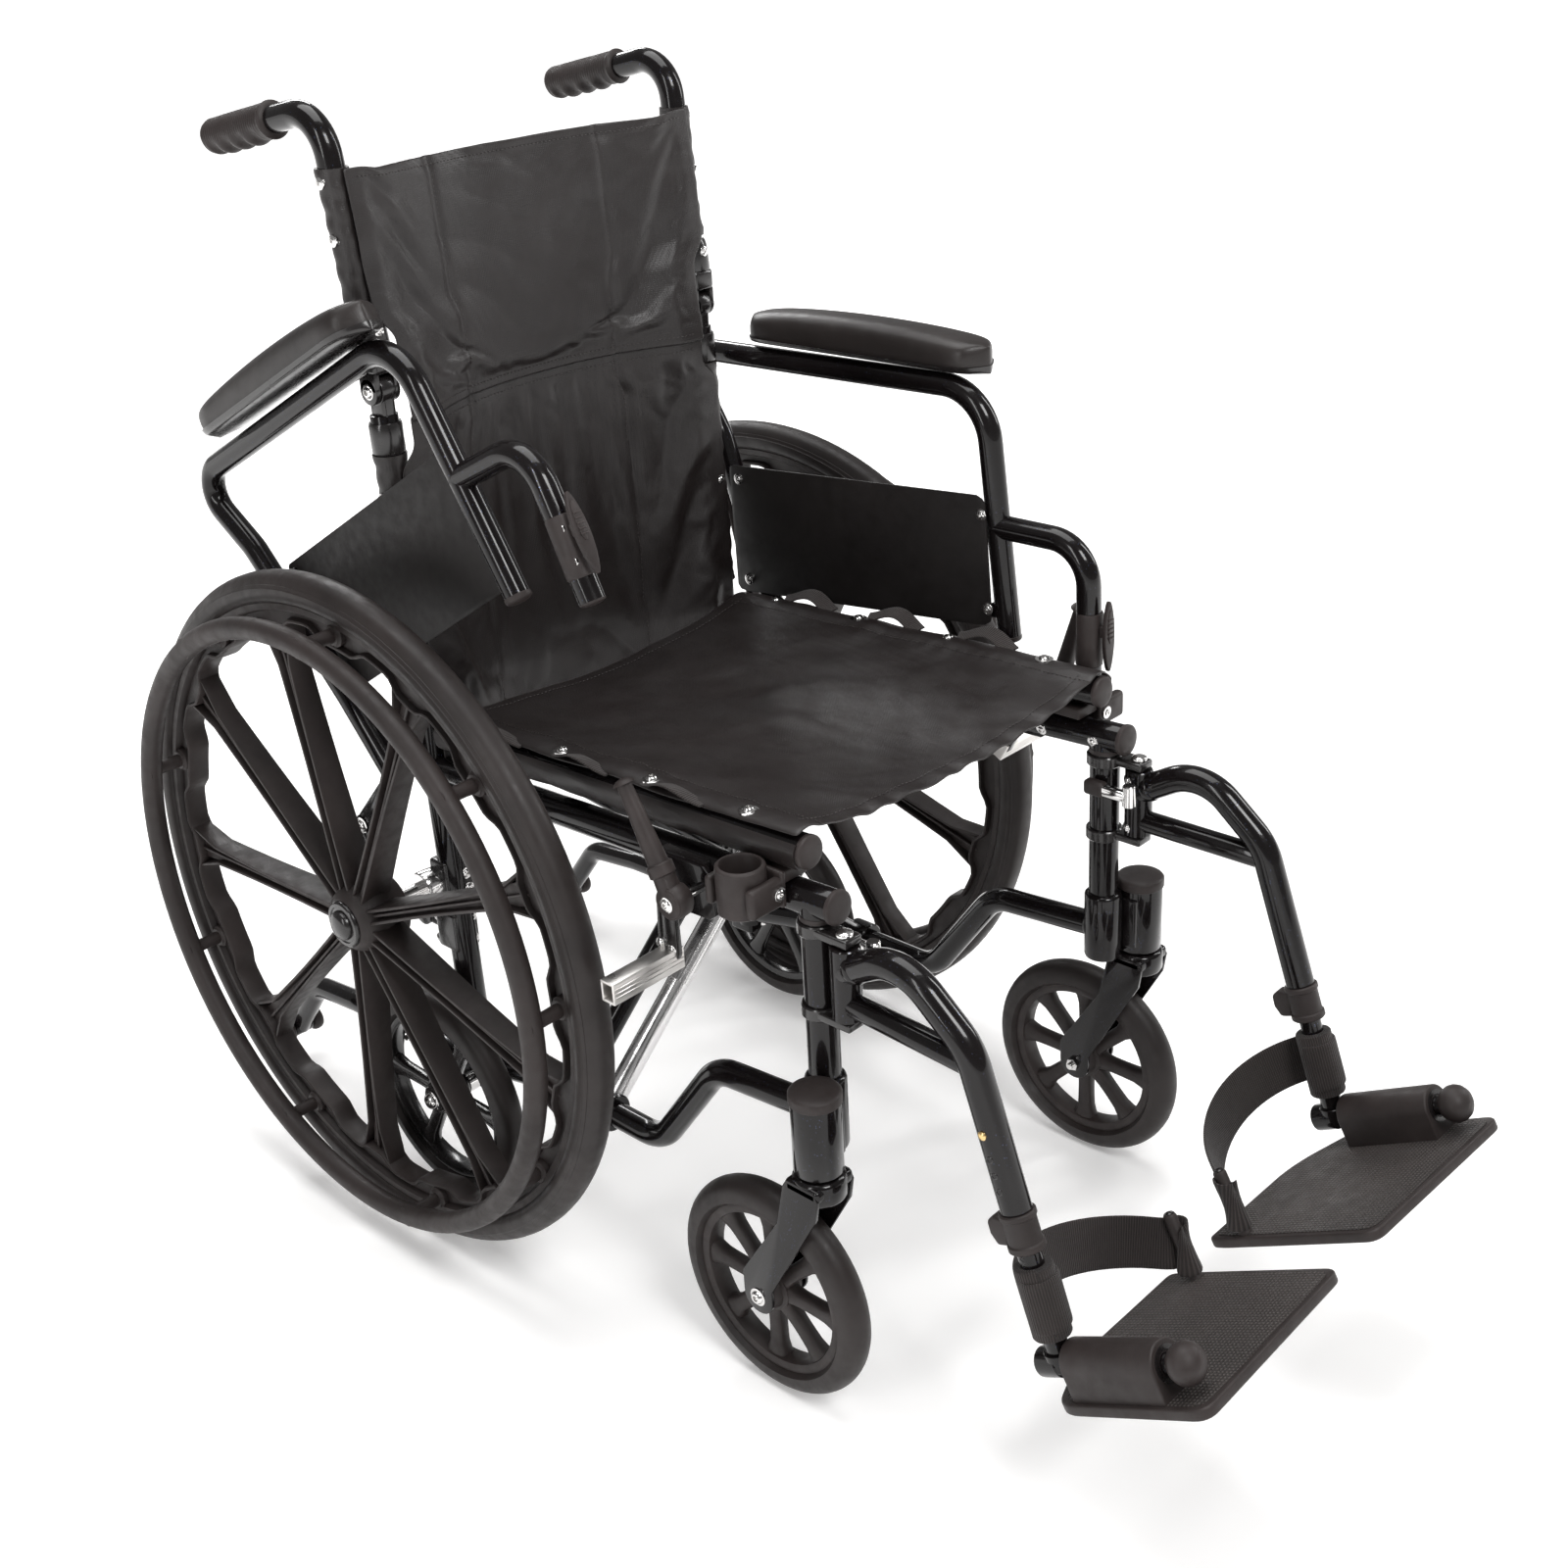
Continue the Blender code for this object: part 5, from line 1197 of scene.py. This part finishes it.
def drape(name, shape, gravity, growth, cap, frames=26, columns=COLUMNS, held=()):
    """Cloth simulation of one sheet pinned along its two sides; each point moves at most cap mm."""
    mesh = bpy.data.meshes.new(name)
    mesh.from_pydata([Vector(p) * MM + DATUM for p in shape[0]], [], shape[1])
    obj = bpy.data.objects.new(name, mesh)
    bpy.context.scene.collection.objects.link(obj)
    group = obj.vertex_groups.new(name="pin")
    for k in range(len(mesh.vertices)):
        to_side = min(k % (columns + 1), columns - k % (columns + 1))
        if to_side <= 3 or k // (columns + 1) in held:
            group.add([k], 1.0, "REPLACE")
    cloth = obj.modifiers.new("cloth", "CLOTH")
    settings = cloth.settings
    settings.vertex_group_mass = "pin"
    settings.quality = 6
    settings.mass = 0.18
    settings.tension_stiffness = settings.compression_stiffness = 22
    settings.shear_stiffness = 9
    settings.bending_stiffness = 0.06
    settings.shrink_min = -growth
    settings.effector_weights.gravity = gravity
    cloth.collision_settings.use_collision = False
    cloth.point_cache.frame_start, cloth.point_cache.frame_end = 1, frames
    scene = bpy.context.scene
    for number in range(1, frames + 1):
        scene.frame_set(number)
    evaluated = obj.evaluated_get(bpy.context.evaluated_depsgraph_get())
    settled = [v.co.copy() for v in evaluated.data.vertices]
    scene.frame_set(1)
    bpy.data.objects.remove(obj)
    out = []
    for rest, moved in zip(shape[0], settled):
        step = (moved - DATUM) / MM - rest
        if step.length > cap:
            step = step.normalized() * cap
        out.append(rest + step)
    return out, shape[1], None


def wrinkle(point, scale, amount, seed):
    p = Vector(point) * scale + Vector((seed, seed * 1.7, seed * 0.3))
    return amount * (noise.noise(p) + 0.5 * noise.noise(p * 2.1) + 0.25 * noise.noise(p * 4.3))


def finish_sheet(name, body, shape, thickness, across, replaces=(), levels=1):
    piece = make(name, body, NYLON, shape, replaces=replaces, smooth=70)
    mesh = piece.data
    bm = bmesh.new()
    bm.from_mesh(mesh)
    if sum(f.normal.dot(Vector(across)) for f in bm.faces) < 0:
        bmesh.ops.reverse_faces(bm, faces=bm.faces)
    bm.to_mesh(mesh)
    bm.free()
    thick = piece.modifiers.new("thick", "SOLIDIFY")
    thick.thickness = thickness * MM
    thick.offset = 1
    smooth_over = piece.modifiers.new("smooth", "SUBSURF")
    smooth_over.levels = smooth_over.render_levels = levels
    bpy.context.view_layer.update()
    done = bpy.data.meshes.new_from_object(piece.evaluated_get(bpy.context.evaluated_depsgraph_get()))
    piece.modifiers.clear()
    piece.data = done
    done.shade_smooth()
    return piece


def seam_line(shape, column, rows=range(ROWS + 1), columns=COLUMNS):
    return [shape[0][j * (columns + 1) + column] for j in rows]


def fold_with_frame(piece):
    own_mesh(piece)


def back_panel(label, body, node, low, high, depths, seed, drag, growth, held):
    """One half of the back: low and high are (half width, y, z), depths the sag at the bottom and the top."""
    def place(u, v):
        half, y, z = (a + (b - a) * v for a, b in zip(low, high))
        half -= 15 * smooth(z, 676, 696) * (1 - smooth(z, 780, 806))
        depth = depths[0] + (depths[1] - depths[0]) * v
        sag = depth * max(0.0, 1 - (abs(u) / 0.84) ** 2.4)
        x = half * u
        calm = smooth(abs(z - HINGE_Z + 25), 4, 34)
        pull = math.exp(-((abs(u) - 0.72) / 0.25) ** 2) * math.sin(v * 15 + (2.4 if u > 0 else 0.5) - abs(u) * 9)
        crease = abs(math.sin((v * 1.15 + u * 0.55) * 12 + 2.2 * noise.noise(Vector((u * 2, v * 2.4, seed + 4)))))
        crease = (0.6 - crease ** 0.55) * smooth(0.97 - abs(u), 0.0, 0.3)
        crease *= 0.35 + 0.9 * (noise.noise(Vector((u * 1.6, v * 1.9, seed))) + 0.5)
        y += sag + calm * (drag * (pull + 1.5 * crease) + wrinkle((x, 0, z), 0.021, 1.0 + 0.5 * drag, seed))
        y += 1.6 * math.exp(-((abs(u) - SEAM_AT) / 0.012) ** 2)
        return x, y, z

    shape = sheet(place)
    shape = drape(f"drape_{label}", shape, 0.35, growth, 2.0 + 170 * growth, held=held)
    shape = pinch(shape, (0, 1, 0), 1.5)
    panel = finish_sheet(f"back_{label}", body, shape, 1.6, (0, -1, 0), replaces=[node])
    fold_with_frame(panel)
    threads = []
    for sign in (-1, 1):
        column = round((1 + sign * SEAM_AT) / 2 * COLUMNS)
        for offset in (-1, 1):
            line = [p + Vector((offset * 2.6, 0, 0)) for p in seam_line(shape, column)]
            threads += stitches(resample(line, 4.2), (0, -1, 0), 2.2)
    for row in (2, ROWS - 2):
        line = [shape[0][row * (COLUMNS + 1) + i] for i in range(2, COLUMNS - 1)]
        threads += stitches(resample(line, 4.2), (0, -1, 0), 2.2)
    thread = make(f"back_{label}_stitching", body, THREAD, *threads)
    fold_with_frame(thread)
    return shape


def pinch(shape, way, depth):
    """Sewn seams pull in: the points on each seam column move by depth."""
    points = [p.copy() for p in shape[0]]
    for sign in (-1, 1):
        column = round((1 + sign * SEAM_AT) / 2 * COLUMNS)
        for j in range(ROWS + 1):
            for offset, share in ((-1, 0.25), (0, 1.0), (1, 0.25)):
                points[j * (COLUMNS + 1) + column + offset] += Vector(way) * depth * share
    return points, shape[1], None


def resample(points, step):
    out, left = [Vector(points[0])], step
    for a, b in zip(points, points[1:]):
        a, b = Vector(a), Vector(b)
        while (b - a).length >= left:
            a = a + (b - a).normalized() * left
            out.append(a.copy())
            left = step
        left -= (b - a).length
    return out


def sleeve(name, body, axis_points, radius, seed, opening=None, replaces=()):
    """Fabric sleeve round a post, slightly loose and creased."""
    points = resample(axis_points, 3.0)
    rings = []
    for i, p in enumerate(points):
        ring = []
        edge = min(i, len(points) - 1 - i)
        for k in range(40):
            v = math.tau * k / 40
            out = Vector((math.cos(v), math.sin(v), 0))
            r = radius + 0.5 + wrinkle(tuple(p * 1.0 + out * 14), 0.045, 0.9, seed)
            r += 0.45 * math.sin(p.z * 0.33 + v * 2 + seed) + (0.7 if edge < 3 else 0.0)
            ring.append(p + out * r)
        rings.append(ring)
    return make(name, body, NYLON, skin(rings), smooth=75)


def upholstery():
    back_panel("lower", "side_frame_right", "back_upholstery_lower", (179, -21.5, 420), (179, -15.6, 719),
               (41, 36), 3.0, 2.3, 0.028, range(ROWS - 3, ROWS + 1))
    back_panel("upper", "back_cane_right", "back_upholstery_upper", (179, -18.8, 715), (183, 2.6, 913),
               (36.5, 27), 8.0, 0.8, 0.010, range(0, 4))
    for s, side in SIDES:
        x = s * FRAME_X
        sleeve(f"back_sleeve_lower_{side}", f"side_frame_{side}", [(x, -6.3, 480), (x, -0.9, 690)], 12.6, 2.0 + s)
        sleeve(f"back_sleeve_upper_{side}", f"back_cane_{side}",
               [(s * 179.4, 6.5, 803), (s * 181, 13.4, 874), (s * 182.3, 17.6, 915)], 12.0, 5.0 + s)
        studs = [screw((x - s * 3, -16.2 + 0.0197 * (z - 668), z), (0, -1, 0), 3.3, 1.8) for z in (660, 580, 500)]
        make(f"back_studs_lower_{side}", f"side_frame_{side}", CHROME, *studs,
             *[screw((x + s * 13.2, -1, z), (s, 0, 0), 3.2, 1.6) for z in (655, 572, 498)])
        make(f"back_studs_upper_{side}", f"back_cane_{side}", CHROME,
             screw((s * 194.0, 11, 860), (s, 0, 0), 3.2, 1.6), screw((s * 195.0, 16, 903), (s, 0, 0), 3.2, 1.6))

    def seat_place(u, v):
        y = -443 + 415 * v
        over = max(0.0, abs(187 * u) - FRAME_X - 0.5)
        z = rail_z(y) + math.sqrt(16.2 ** 2 - over ** 2)
        sag = 16.5 * max(0.0, 1 - (abs(u) / 0.84) ** 2.2) * (0.8 + 0.2 * math.sin(math.pi * v))
        z -= sag
        crease = 0.8 * math.sin(v * 26 + u * 4) * math.exp(-((abs(u) - 0.8) / 0.14) ** 2)
        z += crease + wrinkle((187 * u, y, 0), 0.016, 1.9, 12.0)
        fold = abs(math.sin(v * 7 + u * 2.2 + 2.4 * noise.noise(Vector((u * 1.4, v * 2.0, 5)))))
        z += 2.2 * (0.6 - fold ** 0.5) * (1 - u ** 4) * (0.3 + 0.9 * (noise.noise(Vector((u * 2, v * 2, 9))) + 0.5))
        hem = math.exp(-(v / 0.035) ** 2) * (1 - smooth(abs(u), 0.6, 0.84))
        z += hem * (1.3 * math.sin(u * 34 + 2 * noise.noise(Vector((u * 4, 1, 3)))) - 1.6)
        return 187 * u, y, z

    shape = sheet(seat_place)
    shape = drape("drape_seat", shape, 0.7, 0.010, 4.5)
    seat = finish_sheet("seat_panel", "seat", shape, 2.2, (0, 0, 1), replaces=["seat_upholstery"])
    fold_with_frame(seat)
    threads = []
    for column in (5, COLUMNS - 5):
        threads += stitches(resample(seam_line(shape, column), 4.4), (0, 0, 1), 2.9)
    for row in (2, ROWS - 2):
        line = [shape[0][row * (COLUMNS + 1) + i] for i in range(3, COLUMNS - 2)]
        threads += stitches(resample(line, 4.4), (0, 0, 1), 2.9)
    fold_with_frame(make("seat_stitching", "seat", THREAD, *threads))

    for s, side, carrier in ((-1, "right", "brace_inner"), (1, "left", "brace_outer")):
        rings = []
        axis_x = s * (FRAME_X + 0.5)
        for i in range(100):
            y = -442 + 412 * i / 99
            base = rail_z(y)
            outer, inner = [], []
            for k in range(15):
                v = math.radians(40 - 106 * k / 14)
                r = 13.4 + 0.5 * math.sin(y * 0.11 + k * 0.4) * smooth(k / 14, 0.1, 0.5)
                outer.append((axis_x + s * math.cos(v) * (r + 1.3), y, base + math.sin(v) * (r + 1.3)))
                inner.append((axis_x + s * math.cos(v) * (r - 0.4), y, base + math.sin(v) * (r - 0.4)))
            rings.append(outer + inner[::-1])
        make(f"seat_wrap_{side}", carrier, NYLON, skin(rings), smooth=60)
        bolts = [screw((axis_x, y, rail_z(y) + TUBE_R + 5.0), (0, 0, 1), 4.6, 3.0, 1.7) for y in (-386, -284, -181, -78)]
        fold_with_frame(make(f"seat_screws_{side}", "seat", CHROME, *bolts))
        tabs = []
        for y in (-318, -215, -112):
            mid_z = rail_z(y) + TUBE_R
            path = [Vector((axis_x + s * (7 + 6 * math.sin(math.pi * k / 12)), y - 29 + 58 * k / 12,
                            mid_z + 3.6 + 9 * math.sin(math.pi * k / 12) ** 1.4)) for k in range(13)]
            tabs.append(ribbon(path, [Vector((1, 0, 0.35 * s))] * 13, 15, 1.6))
        fold_with_frame(make(f"seat_loops_{side}", "seat", WEB, *tabs, smooth=60))


# ------------------------------------------------------------------ setting

def set_stage():
    floor_mesh = bpy.data.meshes.new("floor")
    bm = bmesh.new()
    bmesh.ops.create_grid(bm, x_segments=8, y_segments=8, size=90.0)
    bm.to_mesh(floor_mesh)
    bm.free()
    floor = bpy.data.objects.new("floor", floor_mesh)
    floor.location = (0, 0, -0.0005)
    bpy.context.scene.collection.objects.link(floor)
    n = Nodes("studio_floor")
    cloud = n.remap(n.noise(3.0, 4.0), 0.3, 0.7, 0.0, 1.0)
    n.link(n.mix(cloud, (0.93, 0.925, 0.92), (0.95, 0.945, 0.94)), "Base Color")
    away = n.node("ShaderNodeVectorMath", {"Vector": n.coords.outputs["Object"]}, operation="LENGTH")
    n.link(n.remap(away.outputs["Value"], 0.9, 3.6, 0.22, 0.98), "Emission Strength")
    n.set(Roughness=0.6, IOR=1.25)
    n.shader.inputs["Emission Color"].default_value = (1.0, 0.99, 0.985, 1)
    floor_mesh.materials.append(n.material)

    world = bpy.data.worlds.new("studio")
    world.use_nodes = True
    world.node_tree.nodes["Background"].inputs["Color"].default_value = (1.0, 0.99, 0.985, 1)
    seen = world.node_tree.nodes.new("ShaderNodeLightPath").outputs["Is Camera Ray"]
    strength = world.node_tree.nodes.new("ShaderNodeMapRange")
    strength.inputs["To Min"].default_value, strength.inputs["To Max"].default_value = 0.26, 1.0
    world.node_tree.links.new(seen, strength.inputs["Value"])
    world.node_tree.links.new(strength.outputs["Result"], world.node_tree.nodes["Background"].inputs["Strength"])
    bpy.context.scene.world = world
    target = Vector((0, 0, 0.4))
    for name, at, size, power in (("key", (-0.7, -2.6, 3.2), (1.2, 1.2), 75),
                                  ("left_fill", (-3.2, -0.3, 1.9), (0.45, 2.2), 30),
                                  ("right_fill", (2.9, -1.3, 2.1), (0.45, 2.2), 34),
                                  ("rear_rim", (1.3, 2.9, 2.3), (1.8, 0.4), 40),
                                  ("top", (0.1, 0.6, 4.2), (3.0, 3.0), 130)):
        data = bpy.data.lights.new(name, "AREA")
        data.shape = "RECTANGLE"
        data.size, data.size_y = size
        data.energy = power
        lamp = bpy.data.objects.new(name, data)
        lamp.location = at
        lamp.rotation_euler = (target - Vector(at)).to_track_quat("-Z", "Y").to_euler()
        bpy.context.scene.collection.objects.link(lamp)


def set_camera():
    yaw, pitch, roll = 0.771, 0.412, -0.068
    forward = Vector((math.sin(yaw) * math.cos(pitch), math.cos(yaw) * math.cos(pitch), -math.sin(pitch)))
    right = forward.cross(Vector((0, 0, 1))).normalized()
    up = right.cross(forward)
    right, up = (right * math.cos(roll) + up * math.sin(roll), up * math.cos(roll) - right * math.sin(roll))
    data = bpy.data.cameras.new("camera")
    data.sensor_width = 36.0
    data.lens = 45.43
    data.shift_x, data.shift_y = 0.0288, -0.0369
    data.clip_start, data.clip_end = 0.05, 200.0
    camera = bpy.data.objects.new("camera", data)
    turn_to = Matrix((right, up, -forward)).transposed().to_4x4()
    place = Vector((-1069.67, -1300.27, 1108.87)) * MM + DATUM
    camera.matrix_world = Matrix.Translation(place) @ turn_to
    bpy.context.scene.collection.objects.link(camera)
    bpy.context.scene.camera = camera


bpy.context.scene.view_settings.view_transform = "Standard"
brace()
upholstery()
for sign_, side_ in SIDES:
    for build_part in (side_frame, arm_socket, casters, push_wheel, transport_wheel, antitipper, armrest,
                       leg_rest, wheel_lock, back_cane):
        build_part(sign_, side_)
set_stage()
set_camera()
